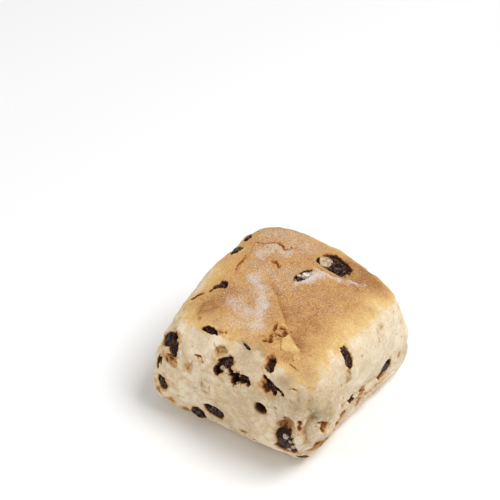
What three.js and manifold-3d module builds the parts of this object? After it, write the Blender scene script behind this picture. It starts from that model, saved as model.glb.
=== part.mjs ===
// A date scone: one soft, square, batch-baked piece of dough with chopped dates showing in its skin.
// Millimetres, +Z up. The scone stands on its flat baked base at z = 0, with the origin under the
// middle of its bounding box. -Y is its front side and +X its right side.

import * as THREE from "three";
import { mergeVertices } from "three/addons/utils/BufferGeometryUtils.js";
import Module from "manifold-3d";

const wasm = await Module();
wasm.setup();

// ---- Driving dimensions -------------------------------------------------------------------------

// How far each side stands out from the middle of the dough.
const REACH = { left: 36.6, right: 34, front: 36.3, back: 37 };
// Height of the widest level, and of the top over the middle.
const WAIST = 25.4;
const TOP = 47;
// Roundness: a low power is round, a high one square.
const PLAN_POWER = 5.5;
const SHOULDER_POWER = 4.1;
const FOOT_POWER = 7;
// The lower half would end a little below the tray, which cuts it flat.
const BELOW_TRAY = 1.06;
// How much the foot draws in under the belly, as a share of the reach along X and along Y.
const TUCK = { x: 0.1, y: 0.07 };
// The top leans a little, and rises at two opposite corners.
const LEAN = { x: -1.2, y: 1.8, twist: -6 };
// How far each corner is pulled out at the foot and at the shoulder.
const CORNERS = [
  { x: 1, y: -1, foot: 0.4, shoulder: 1.9 },
  { x: -1, y: -1, foot: 5, shoulder: -1 },
  { x: 1, y: 1, foot: 3.7, shoulder: -1.6 },
  { x: -1, y: 1, foot: 0, shoulder: -4.8 },
];
// Soft lobes and hollows of the risen dough: where, how wide and how high.
const LOBES = [
  { at: [15, -4, 46], width: 13, rise: 1.3 },
  { at: [-12, -13, 46], width: 12, rise: 0.7 },
  { at: [-18, 22, 49], width: 10, rise: 0.6 },
  { at: [8, 20, 46], width: 8, rise: -1.4 },
  { at: [-6, -30, 40], width: 9, rise: -0.8 },
  { at: [10, -36, 33], width: 10, rise: 0.9 },
  { at: [34, 4, 32], width: 13, rise: 0.9 },
  { at: [33, -3, 12], width: 10, rise: -1.3 },
  { at: [34, -19, 4], width: 8, rise: -2 },
  { at: [20, -37, 3], width: 7, rise: -1.3 },
  { at: [-3, -39, 4], width: 9, rise: 0.9 },
  { at: [31, -31, 2], width: 5, rise: 0.8 },
  { at: [-38, -35, 19], width: 7, rise: 0.7 },
  { at: [-36, 6, 30], width: 13, rise: 0.9 },
  { at: [4, 37, 28], width: 13, rise: 0.9 },
];
// Grid lines across each face of the dough.
const DOUGH_STEPS = 13;
// Room between a date and its pocket. A date lower than this has its pocket cut on, up past the skin.
const POCKET_GAP = 0.35;
const DEEP = -0.25;
const PAST_SKIN = 0.5;

// The pieces of date that show. at is about where each one lies, run is the way its long side goes,
// size is its length, width and thickness, and proud is how far it stands out of the dough, or, below
// zero, how deep in its pocket it lies.
const DATES = [
  { name: "date_top_back", at: [4.8, 24.6, 46.2], run: [12, 0, -3], size: [15, 9.4, 6], proud: 0.7 },
  { name: "date_top_floured", at: [-0.7, 11.6, 47.5], run: [4, 10, 0], size: [11, 6, 4.5], proud: 0.4 },
  { name: "date_top_left", at: [-24.5, -9.1, 45.2], run: [4, 5, 1], size: [7.5, 5, 4], proud: 0.3 },
  { name: "date_rim_left", at: [-29.8, 9.5, 46.9], run: [1, 5, 1], size: [7, 4.5, 4], proud: 0.5 },
  { name: "date_rim_back", at: [-28.6, 17.6, 48.1], run: [1, 2, 1], size: [5, 3.6, 3.2], proud: 0.5 },
  { name: "date_brow_left", at: [-15.5, -26.5, 42.5], run: [7, 0, 1], size: [8.4, 4.4, 4], proud: 0.3 },
  { name: "date_brow_slit", at: [0.3, -27, 43.9], run: [6, -2, 0], size: [7, 3.4, 3.4], proud: 0.3 },
  { name: "date_front_corner", at: [-29, -32.6, 32.4], run: [4, -2, -5], size: [10.6, 8.4, 5.5], proud: 0.5 },
  { name: "date_front_sliver", at: [-33.4, -34.4, 22.8], run: [1, -1, -4], size: [6, 3.6, 3.4], proud: 0.4 },
  { name: "date_front_left", at: [-29.7, -37.7, 15.7], run: [2, 0, -3], size: [5.4, 4.6, 4], proud: 0.4 },
  { name: "date_front_upper", at: [-5.2, -34, 37.6], run: [-3, -2, -6], size: [9.4, 6, 4.6], proud: -0.4 },
  { name: "date_front_ragged", at: [3.8, -35.4, 36.8], run: [9, 0, -1], size: [9.2, 6, 4.6], proud: -1.0 },
  { name: "date_front_brow", at: [12.4, -29.2, 44.2], run: [1, -4, -2], size: [6.4, 4.8, 4], proud: 0.2 },
  { name: "date_front_middle", at: [16.7, -34.9, 40.8], run: [7, -2, -2], size: [8.6, 5, 4.4], proud: -0.7 },
  { name: "date_front_low", at: [-7.6, -36.2, 12.4], run: [7, 0, -4], size: [9, 5.4, 4.4], proud: 0.3 },
  { name: "date_front_foot", at: [-15.2, -36.1, 6], run: [4, 0, -3], size: [6, 4.6, 4], proud: 0.4 },
  { name: "date_front_round", at: [14, -37.3, 29.2], run: [1, 0, 0], size: [6.2, 5.6, 4.6], proud: -1.5 },
  { name: "date_front_large", at: [24.2, -35.8, 17.6], run: [-1, 2, -13], size: [14, 9.4, 6], proud: 0.3 },
  { name: "date_right_tall", at: [30.9, -9.2, 41.6], run: [5, -4, -6], size: [9.4, 4.6, 4.2], proud: 0.4 },
  { name: "date_right_back", at: [34.2, 14.4, 17.2], run: [0, -6, -1], size: [6.6, 4.2, 3.8], proud: 0.3 },
  { name: "date_right_slit", at: [33.9, -9.2, 22.4], run: [0, -7, 2], size: [7, 3.2, 3.2], proud: 0.3 },
  { name: "date_near_foot", at: [28, -31.5, 7], run: [3, 2, 1], size: [4.6, 3, 3], proud: 0.3 },
  { name: "date_left_front", at: [-38, -19, 12], run: [0, 4, 3], size: [8.6, 5, 4.2], proud: 0.4 },
  { name: "date_left_upper", at: [-37, -8, 31], run: [0, 6, -2], size: [9.6, 6.4, 4.8], proud: 0.4 },
  { name: "date_left_middle", at: [-37, 6, 21], run: [0, 1, 3], size: [6.4, 5, 4.2], proud: -1.0 },
  { name: "date_left_back", at: [-35, 20, 33], run: [0, 5, 3], size: [8, 4.6, 4.2], proud: 0.3 },
  { name: "date_left_foot", at: [-36, 19, 8], run: [0, 6, 1], size: [9, 5.6, 4.4], proud: 0.4 },
  { name: "date_back_left", at: [-22, 37, 24], run: [5, 0, 4], size: [8.4, 5.4, 4.4], proud: 0.4 },
  { name: "date_back_foot", at: [-9, 37, 9], run: [6, 0, 1], size: [7, 4.6, 4], proud: 0.4 },
  { name: "date_back_upper", at: [-3, 36, 36], run: [6, 0, -3], size: [10.4, 6.6, 5], proud: 0.4 },
  { name: "date_back_middle", at: [10, 37, 21], run: [1, 0, 5], size: [7.4, 5.2, 4.4], proud: -1.2 },
  { name: "date_back_right", at: [24, 36, 31], run: [3, 0, -5], size: [8, 4.8, 4.2], proud: 0.3 },
  { name: "date_back_corner", at: [27, 36, 11], run: [5, 0, 2], size: [6.6, 4.8, 4], proud: 0.4 },
  { name: "date_base_left", at: [-13, 9, 0], run: [3, 2, 0], size: [8, 5, 4], proud: 0 },
  { name: "date_base_right", at: [15, -12, 0], run: [-1, 3, 0], size: [6.6, 4.6, 4], proud: 0 },
];

const doughMaterial = new THREE.MeshStandardMaterial({ color: 0xdcc194, roughness: 0.85, metalness: 0 });
const dateMaterial = new THREE.MeshStandardMaterial({ color: 0x2b1a14, roughness: 0.35, metalness: 0 });

// ---- Shared helpers -----------------------------------------------------------------------------

const clamp01 = (t) => Math.min(Math.max(t, 0), 1);
const smooth = (t) => t * t * (3 - 2 * t);

// Only the positions, with shared vertices merged: what a closed solid is made from.
function bare(geometry) {
  const copy = geometry.clone();
  copy.deleteAttribute("normal");
  copy.deleteAttribute("uv");
  return mergeVertices(copy, 1e-4);
}

function solidOf(geometry) {
  const merged = bare(geometry);
  return new wasm.Manifold(
    new wasm.Mesh({
      numProp: 3,
      vertProperties: merged.attributes.position.array,
      triVerts: new Uint32Array(merged.index.array),
    }),
  );
}

function geometryOf(solid) {
  const { vertProperties, triVerts } = solid.getMesh();
  const geometry = new THREE.BufferGeometry();
  geometry.setAttribute("position", new THREE.BufferAttribute(vertProperties, 3));
  geometry.setIndex(new THREE.BufferAttribute(triVerts, 1));
  geometry.computeVertexNormals();
  return geometry;
}

// Moves every vertex of a geometry to where place sends it.
function moveVertices(geometry, place) {
  const position = geometry.attributes.position;
  const vertex = new THREE.Vector3();
  for (let i = 0; i < position.count; i += 1) {
    vertex.fromBufferAttribute(position, i);
    place(vertex);
    position.setXYZ(i, vertex.x, vertex.y, vertex.z);
  }
  return geometry;
}

// ---- The dough ----------------------------------------------------------------------------------

// Adds the soft lobes: each one moves nearby points out from, or in towards, the heart of the dough.
function addLobes(point) {
  const outward = point.clone().sub(new THREE.Vector3(0, 0, WAIST)).normalize();
  const top = point.clone();
  for (const { at, width, rise } of LOBES) {
    const near = Math.exp(-top.distanceToSquared(new THREE.Vector3(...at)) / (width * width));
    point.addScaledVector(outward, rise * near);
  }
}

// Puffs a point on a cube from -1 to 1 out to the skin of the dough. The unit form is a rounded box,
// (|x|^n + |y|^n)^(m/n) + |z|^m = 1, which is then sized, leant, pulled at its corners and tucked in.
function puff(point) {
  const even = (c) => Math.tan((c * Math.PI) / 4);
  point.set(even(point.x), even(point.y), even(point.z));
  const plan = (Math.abs(point.x) ** PLAN_POWER + Math.abs(point.y) ** PLAN_POWER) ** (1 / PLAN_POWER);
  const power = point.z > 0 ? SHOULDER_POWER : FOOT_POWER;
  point.divideScalar((plan ** power + Math.abs(point.z) ** power) ** (1 / power));
  const { x, y, z } = point;

  const half = z > 0 ? TOP - WAIST : WAIST * BELOW_TRAY;
  let height = WAIST + z * half;
  const risen = smooth(clamp01(height / TOP));
  point.x *= x > 0 ? REACH.right : REACH.left;
  point.y *= y > 0 ? REACH.back : REACH.front;
  for (const corner of CORNERS) {
    const share = 1.6 * (clamp01(x * corner.x) * clamp01(y * corner.y)) ** 1.5;
    const pull = share * THREE.MathUtils.lerp(corner.foot, corner.shoulder, risen);
    point.x += corner.x * pull;
    point.y += corner.y * pull;
  }
  height += (LEAN.x * x + LEAN.y * y + LEAN.twist * x * y) * risen;
  const low = clamp01((WAIST - height) / WAIST) ** 2;
  point.set(point.x * (1 - TUCK.x * low), point.y * (1 - TUCK.y * low), height);
  addLobes(point);
  point.z = Math.max(point.z, 0);
}

function makeDough() {
  const box = new THREE.BoxGeometry(2, 2, 2, DOUGH_STEPS, DOUGH_STEPS, DOUGH_STEPS);
  return moveVertices(bare(box), puff);
}

// ---- The dates ----------------------------------------------------------------------------------

// A chopped piece of date: a blunt lump, a little uneven, of the given length, width and thickness.
function makeDate([length, width, thickness], seed) {
  const detail = length > 12 ? 2 : 1;
  const lump = (vertex) => {
    const blunt = (vertex.x ** 4 + vertex.y ** 4 + vertex.z ** 4) ** 0.25;
    const uneven = 1 + 0.07 * Math.sin(2.6 * vertex.x + seed) * Math.cos(2.2 * vertex.y - 2 * seed);
    vertex.multiplyScalar((0.78 + 0.22 / blunt) * uneven);
  };
  const geometry = moveVertices(bare(new THREE.IcosahedronGeometry(1, detail)), lump);
  geometry.computeBoundingBox();
  const rough = geometry.boundingBox.getSize(new THREE.Vector3());
  return geometry.center().scale(length / rough.x, width / rough.y, thickness / rough.z);
}

// Where the line from the heart of the dough through a point leaves the skin, and which way it faces.
function seatOn(dough, at) {
  const heart = new THREE.Vector3(0, 0, WAIST / 2 + TOP / 4);
  const way = new THREE.Vector3(...at).sub(heart).normalize();
  const far = heart.clone().addScaledVector(way, 4 * TOP);
  const [hit] = new THREE.Raycaster(far, way.clone().negate()).intersectObject(dough);
  return { point: hit.point, normal: hit.face.normal };
}

// Turns a piece to lie in the skin: length along run, thickness along the normal of its seat.
function layIn(mesh, { point, normal }, { run, size, proud }) {
  const along = new THREE.Vector3(...run).projectOnPlane(normal).normalize();
  const across = new THREE.Vector3().crossVectors(normal, along);
  const turn = new THREE.Matrix4().makeBasis(along, across, normal);
  mesh.quaternion.setFromRotationMatrix(turn);
  mesh.position.copy(point).addScaledVector(normal, proud - size[2] / 2);
}

// ---- Assembly -----------------------------------------------------------------------------------

const scone = new THREE.Group();
const dough = new THREE.Mesh(makeDough(), doughMaterial);
dough.name = "scone_dough";

const dates = DATES.map((date, index) => {
  const mesh = new THREE.Mesh(makeDate(date.size, index), dateMaterial);
  mesh.name = date.name;
  layIn(mesh, seatOn(dough, date.at), date);
  mesh.updateMatrix();
  return mesh;
});

// Each pocket is its date's own shape with the gap added all round. A date that lies deep has the same
// shape cut again further out, so that its pocket is open.
let pocketed = solidOf(dough.geometry);
dates.forEach((mesh, index) => {
  const { size, proud } = DATES[index];
  const grown = mesh.geometry.clone().scale(...size.map((side) => (side + 2 * POCKET_GAP) / side));
  for (const outwards of proud < DEEP ? [0, PAST_SKIN - proud] : [0]) {
    const pocket = grown.clone().translate(0, 0, outwards).applyMatrix4(mesh.matrix);
    pocketed = pocketed.subtract(solidOf(pocket));
  }
});
dough.geometry = geometryOf(pocketed);
scone.add(dough, ...dates);

// The origin goes under the middle of the whole scone, at the level of its base.
const bounds = new THREE.Box3().setFromObject(scone);
const middle = bounds.getCenter(new THREE.Vector3());
scone.position.set(-middle.x, -middle.y, 0);

export default scone;
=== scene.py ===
"""A date scone: soft, square, batch-baked dough with chopped dates in its skin.

Shapes are worked out in millimetres in the dough's own frame, whose zero is under its heart, and
are moved to the part's frame, in metres, as each mesh is made. -Y is the front side, +X the right
side, +Z up."""

from itertools import product

import bpy
import numpy as np
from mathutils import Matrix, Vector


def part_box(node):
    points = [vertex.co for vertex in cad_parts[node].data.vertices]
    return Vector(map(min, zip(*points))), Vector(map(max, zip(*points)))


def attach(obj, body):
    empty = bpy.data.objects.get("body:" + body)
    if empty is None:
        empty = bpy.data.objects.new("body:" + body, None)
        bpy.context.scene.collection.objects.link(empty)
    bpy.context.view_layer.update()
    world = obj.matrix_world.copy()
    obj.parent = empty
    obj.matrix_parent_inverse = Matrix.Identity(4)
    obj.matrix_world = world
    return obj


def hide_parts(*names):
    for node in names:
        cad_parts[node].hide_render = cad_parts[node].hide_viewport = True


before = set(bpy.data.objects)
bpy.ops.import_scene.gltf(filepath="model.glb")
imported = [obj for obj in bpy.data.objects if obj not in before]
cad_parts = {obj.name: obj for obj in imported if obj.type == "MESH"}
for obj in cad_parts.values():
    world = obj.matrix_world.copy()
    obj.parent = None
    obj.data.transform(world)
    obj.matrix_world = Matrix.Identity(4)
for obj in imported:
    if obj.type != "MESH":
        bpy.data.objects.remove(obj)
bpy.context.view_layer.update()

# ---- The risen dough ----------------------------------------------------------------------------
# One ball of soft scone dough. It is set close to its neighbours on the tray, so it rises into a
# rounded square with upright sides, and it bakes flat underneath, where it lies on the tray.

# How far each side lies from the heart, how high the heart and the top are, and how square the dough
# is seen from above, at its shoulder and at its foot.
REACH_LEFT, REACH_RIGHT = 36.6, 34
REACH_FRONT, REACH_BACK = 36.3, 37
WAIST, TOP = 25.4, 47
HEART = (0, 0, WAIST)
PLAN_POWER, SHOULDER_POWER, FOOT_POWER = 5.5, 4.1, 7
# The rounded form goes down from the waist by this many times its height, and is cut off flat at the
# tray. Its foot is tucked in by these shares. Its top leans: up to the right, to the back, and by
# what the right back corner and the one across from it are higher than the other two.
BELOW_TRAY = 1.06
TUCK_X, TUCK_Y = 0.12, 0.095
LEAN_X, LEAN_Y, LEAN_TWIST = -1.2, 1.8, -6
# Each corner: which way it lies, and how far it is pulled out at the foot and at the shoulder. Then
# the strength of any pull, and how fast it fades away from the corner.
CORNERS = [(1, -1, 0.4, 1.9), (-1, -1, 5, -1), (1, 1, 3.7, -1.6), (-1, 1, 0, -4.8)]
CORNER_STRENGTH, CORNER_FADING = 1.6, 1.5
# Soft lobes and hollows: middle, how wide and how high.
LOBES = [
    ((15, -4, 46), 13, 1.3), ((-12, -13, 46), 12, 0.7), ((-18, 22, 49), 10, 0.6), ((8, 20, 46), 8, -1.4),
    ((-6, -30, 40), 9, -0.8), ((10, -36, 33), 10, 0.9), ((34, 4, 32), 13, 0.9), ((33, -3, 12), 10, -1.3),
    ((34, -19, 4), 8, -2), ((20, -37, 3), 7, -2), ((-3, -39, 4), 9, 0.9), ((31, -31, 2), 5, 0.8),
    ((-38, -35, 19), 7, 0.7), ((-36, 6, 30), 13, 0.9), ((4, 37, 28), 13, 0.9), ((-32.5, 12, 46), 7, -1.9),
]
# The net's cells across a side and up it, and its rings underneath, which crowd towards the edge.
CELLS_ACROSS, CELLS_UP, BASE_RINGS = 90, 58, 16
RING_CROWDING = 1.3
# How a lattice corner is turned to random bits: one factor an axis, then two rounds of scrambling.
LATTICE_FACTORS = (73856093, 19349663, 83492791)
SCRAMBLING = ((13, 1274126177), (16, 668265263))
LAST_32_BITS = 0xFFFFFFFF


def smoothstep(low, high, value):
    """Rises from 0 at low to 1 at high, level at both ends: 3t^2 - 2t^3."""
    t = np.clip((value - low) / (high - low), 0, 1)
    return t * t * (3 - 2 * t)


def unit(vectors):
    """Each vector divided by its length."""
    return vectors / np.maximum(np.linalg.norm(vectors, axis=-1, keepdims=True), 1e-12)


def noise(points, size, seed):
    """Gradient noise, about -1 to 1: every corner of a lattice of cells of that size has a slope of its
    own, and the slopes of a cell's eight corners are blended smoothly across it."""
    scaled = points / size + 0.37 * seed
    cell = np.floor(scaled)
    inside = scaled - cell
    blend = inside**3 * (inside * (inside * 6 - 15) + 10)
    total = np.zeros(len(points))
    for corner in product((0, 1), repeat=3):
        at = (cell + corner).astype(np.int64) & 0xFFFF
        key = (at * LATTICE_FACTORS).sum(-1) ^ (seed * 7919 + 17)
        for shift, factor in SCRAMBLING:
            key = ((key ^ (key >> shift)) * factor) & LAST_32_BITS
        # Three groups of ten bits become a slope of -1 to 1 along each axis.
        slope = np.stack([key >> shift & 1023 for shift in (2, 12, 22)], -1) / 511.5 - 1
        weight = np.where(corner, blend, 1 - blend).prod(-1)
        total += weight * (slope * (inside - corner)).sum(-1)
    return 1.5 * total


def layered_noise(points, size, seed, layers):
    """Noise at a size, with half as much at half the size, and so on."""
    return sum(noise(points, size / 2**k, seed + k) / 2**k for k in range(layers))


def rounded_block(across, up, rings):
    """The skin of a cube from -1 to 1 as one welded net of triangles: a sheet on top, a band round the
    sides, and rings below that close on a point. Its lines stand at even angles seen from the middle."""
    even = np.tan((np.linspace(0, 2, across + 1) - 1) * np.pi / 4)
    levels = np.tan((np.linspace(0, 2, up + 1) - 1) * np.pi / 4)
    side, one = even[:-1], np.ones(across)
    loop_x = np.concatenate([one, -side, -one, side])
    loop_y = np.concatenate([side, one, -side, -one])

    columns, rows = np.meshgrid(even, even)
    lid = np.stack([columns, rows, np.ones_like(rows)], -1)
    band = np.stack(np.broadcast_arrays(loop_x, loop_y, levels[:, None]), -1)
    radii = 1 - (np.arange(rings)[::-1, None] / rings) ** RING_CROWDING
    base = np.stack(np.broadcast_arrays(loop_x * radii, loop_y * radii, -1.0), -1)

    points, triangles, used = [], [], 0
    for sheet, closed in ((lid, False), (band, True), (base, True)):
        number = np.arange(sheet[..., 0].size).reshape(sheet.shape[:2]) + used
        if closed:
            number = np.hstack([number, number[:, :1]])
        a, b, c, d = number[:-1, :-1], number[:-1, 1:], number[1:, 1:], number[1:, :-1]
        triangles += [np.stack(corners, -1).reshape(-1, 3) for corners in ((a, b, c), (a, c, d))]
        points.append(sheet.reshape(-1, 3))
        used += len(points[-1])
    ring = np.arange(4 * across) + len(points[0]) + len(points[1])
    triangles.append(np.stack([np.full(4 * across, used), np.roll(ring, -1), ring], -1))
    points = np.vstack([*points, (0, 0, -1)])
    _, first, weld = np.unique(np.round(points, 6), axis=0, return_index=True, return_inverse=True)
    return points[first], weld.ravel()[np.concatenate(triangles)]


def split_near(points, triangles, chosen):
    """Cuts each chosen triangle into four through the middles of its edges, and its neighbours into two
    or three, so that no corner is left hanging on an edge."""
    ends = np.sort(np.stack([triangles, np.roll(triangles, -1, 1)], -1), -1).reshape(-1, 2)
    edges, which = np.unique(ends, axis=0, return_inverse=True)
    which = which.reshape(-1, 3)
    cut = np.zeros(len(edges), bool)
    cut[which[chosen]] = True
    middle = np.where(cut, len(points) + np.cumsum(cut) - 1, -1)[which]
    cuts = (middle >= 0).sum(1)
    four, corners = middle[cuts == 3], triangles[cuts == 3]
    made = [triangles[cuts == 0], four]
    for k in range(3):
        made.append(np.stack([corners[:, k], four[:, k], four[:, k - 1]], -1))
        turned, mid = np.roll(triangles, -k, 1), np.roll(middle, -k, 1)
        (a, b, c), m = turned[(cuts == 1) & (mid[:, 0] >= 0)].T, mid[(cuts == 1) & (mid[:, 0] >= 0), 0]
        made += [np.stack([a, m, c], -1), np.stack([m, b, c], -1)]
        both = (cuts == 2) & (mid[:, 0] < 0)
        (a, b, c), (_, p, q) = turned[both].T, mid[both].T
        made += [np.stack(three, -1) for three in ((a, b, p), (a, p, q), (q, p, c))]
    return np.vstack([points, points[edges[cut]].mean(1)]), np.concatenate(made)


def puff(cube):
    """A point of the cube taken out to the skin of the dough. The unit form is a rounded box,
    (|x|^n + |y|^n)^(m/n) + |z|^m = 1, which is sized, leant, pulled at its corners and tucked in at its
    foot. Each lobe then moves what is near it along the line from the heart, by rise * exp(-d^2/w^2)."""
    plan = (abs(cube[:, 0]) ** PLAN_POWER + abs(cube[:, 1]) ** PLAN_POWER) ** (1 / PLAN_POWER)
    power = np.where(cube[:, 2] > 0, SHOULDER_POWER, FOOT_POWER)
    x, y, z = cube.T / (plan**power + abs(cube[:, 2]) ** power) ** (1 / power)

    height = WAIST + z * np.where(z > 0, TOP - WAIST, WAIST * BELOW_TRAY)
    risen = smoothstep(0, TOP, height)
    px = x * np.where(x > 0, REACH_RIGHT, REACH_LEFT)
    py = y * np.where(y > 0, REACH_BACK, REACH_FRONT)
    for side_x, side_y, foot, shoulder in CORNERS:
        corner = np.clip(x * side_x, 0, 1) * np.clip(y * side_y, 0, 1)
        pull = CORNER_STRENGTH * corner**CORNER_FADING * (foot + (shoulder - foot) * risen)
        px, py = px + side_x * pull, py + side_y * pull
    height = height + (LEAN_X * x + LEAN_Y * y + LEAN_TWIST * x * y) * risen
    low = np.clip((WAIST - height) / WAIST, 0, 1) ** 2
    points = np.stack([px * (1 - TUCK_X * low), py * (1 - TUCK_Y * low), height], -1)

    swell = sum(
        rise * np.exp(-((points - at) ** 2).sum(-1) / width**2) for at, width, rise in LOBES
    )
    points = points + unit(points - HEART) * swell[:, None]
    points[:, 2] = np.maximum(points[:, 2], 0)
    return points


def facing(points, triangles):
    """The outward direction at every point: the mean of those of the triangles round it, by area."""
    a, b, c = (points[triangles[:, k]] for k in range(3))
    flat = np.cross(b - a, c - a)
    total = [np.bincount(triangles.ravel(), np.repeat(flat[:, k], 3), len(points)) for k in range(3)]
    return unit(np.stack(total, -1))


cube, net = rounded_block(CELLS_ACROSS, CELLS_UP, BASE_RINGS)
skin = puff(cube)
outward = facing(skin, net)

# The dough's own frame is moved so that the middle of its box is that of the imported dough.
packed_low, packed_high = (1000 * np.array(corner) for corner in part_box("scone_dough"))
PLACE = ((packed_low + packed_high) - (skin.min(0) + skin.max(0))) / 2 * (1, 1, 0)

# ---- Seats for the chopped dates ----------------------------------------------------------------
# Chopped dates are folded into the dough. Those at the skin lie in pockets whose mouths tore or
# shrank a little in the oven, so each is a ragged hole with a soft lip round a dark piece.

# The mouths over the dates at the front, the right and the top. Each has its depth, how ragged and how
# stained it is, and the ovals that it is made of: middle, way that it runs, length and width.
MOUTHS = {
    "date_top_back": (1.5, 0.13, 0.6, [
        ((5.1, 25.2, 45.6), (10, -1, -2), 12.6, 8.2), ((-0.3, 22.6, 47.2), (4, 1, 0), 5, 3.6),
        ((4.6, 22.4, 46), (10, 1, -2), 12.6, 3),
    ]),
    "date_top_floured": (0.9, 0.3, 0.35, [((-1.5, 11.2, 47.6), (3, 9, 0), 8.6, 3.2)]),
    "date_top_left": (1.4, 0.25, 0.4, [
        ((-23.2, -7.8, 45.8), (1, -2, 0), 4, 3.2), ((-24.8, -9.2, 45.4), (3, 2, 1), 5, 1.8),
    ]),
    "date_rim_left": (1.2, 0.2, 0.8, [((-31, 10.4, 45.6), (1, 4, 1), 5.4, 4.6)]),
    "date_rim_back": (1.0, 0.2, 0.5, [((-29.6, 17.2, 47), (2, 2, 1), 3.6, 3)]),
    "date_brow_left": (1.6, 0.3, 0.4, [
        ((-15.4, -26.8, 42.5), (6, 0, 1), 6, 2.5), ((-17.6, -26.3, 42.2), (3, 2, 1), 3.4, 1.6),
    ]),
    "date_brow_slit": (0.7, 0.35, 0.5, [((0.3, -26.8, 43.8), (5, -2, 0), 5.2, 0.9)]),
    "date_front_corner": (1.4, 0.14, 0.8, [
        ((-30.2, -31.4, 32.6), (8, -1, 7), 9.8, 5.8), ((-26.8, -33.5, 32.6), (1, -3, -5), 6.8, 5),
    ]),
    "date_front_sliver": (1.4, 0.15, 0.4, [((-33, -34.8, 23.1), (1, -1, -4), 6, 1.9)]),
    "date_front_left": (1.4, 0.12, 0.9, [((-29.8, -37.5, 15.8), (2, 0, -3), 5.6, 5.6)]),
    "date_front_upper": (2.6, 0.2, 0.7, [
        ((-4.3, -33.2, 38.8), (6, 2, 3), 7.2, 4.6), ((-6, -35, 35.4), (3, 2, 6), 6.6, 4),
    ]),
    "date_front_ragged": (3.2, 0.5, 0.6, [
        ((3.6, -35.3, 37.2), (9, 0, 1), 9, 3.8), ((-1.2, -34.7, 37.6), (4, 0, -2), 4.2, 2.4),
        ((1, -35.8, 35.4), (1, -1, -4), 4, 3), ((6.6, -35.6, 38), (2, 0, -2), 3.6, 2.8),
    ]),
    "date_front_brow": (2.2, 0.2, 0.7, [((12.5, -29.2, 44.5), (2, -5, -2), 5.8, 3.7)]),
    "date_front_middle": (2, 0.55, 0.8, [
        ((16.8, -34.8, 41.3), (7, -2, -1), 7.6, 1.6), ((16.5, -35.3, 40.7), (7, -1, -1), 5.6, 3.2),
    ]),
    "date_front_low": (1.3, 0.12, 0.5, [((-7.3, -36.3, 12.9), (8, 1, -3), 8.8, 5.2)]),
    "date_front_foot": (1.2, 0.2, 0.5, [((-14.4, -36.4, 7.2), (5, 1, -2), 6.4, 6.2)]),
    "date_front_round": (3.2, 0.05, 0.4, [((14, -37.3, 29.4), (0, 0, 1), 6, 4.8)]),
    "date_front_large": (1.7, 0.1, 0.7, [
        ((23.4, -35.8, 17.4), (0, 2, -14), 14.4, 7.8), ((24, -35.2, 15.2), (1, 0, -6), 11.4, 7.6),
        ((22, -34.8, 12.2), (1, 0, 0), 6, 5.4),
    ]),
    "date_right_tall": (1.2, 0.14, 0.6, [((31.1, -9.2, 41.9), (5, -3, -6), 8.8, 3.7)]),
    "date_right_back": (1.6, 0.2, 0.7, [
        ((34.3, 14.5, 17.5), (0, -5, -1), 5.8, 5.4), ((34.2, 12, 15.2), (0, -4, -3), 4, 2.2),
    ]),
    "date_right_slit": (1.2, 0.15, 0.3, [((33.9, -9.6, 22), (0, -7, 4), 6.4, 1.3)]),
    "date_near_foot": (1.0, 0.2, 0.7, [((27.6, -31.3, 7), (2, 2, -1), 4.6, 1.9)]),
}
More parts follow.
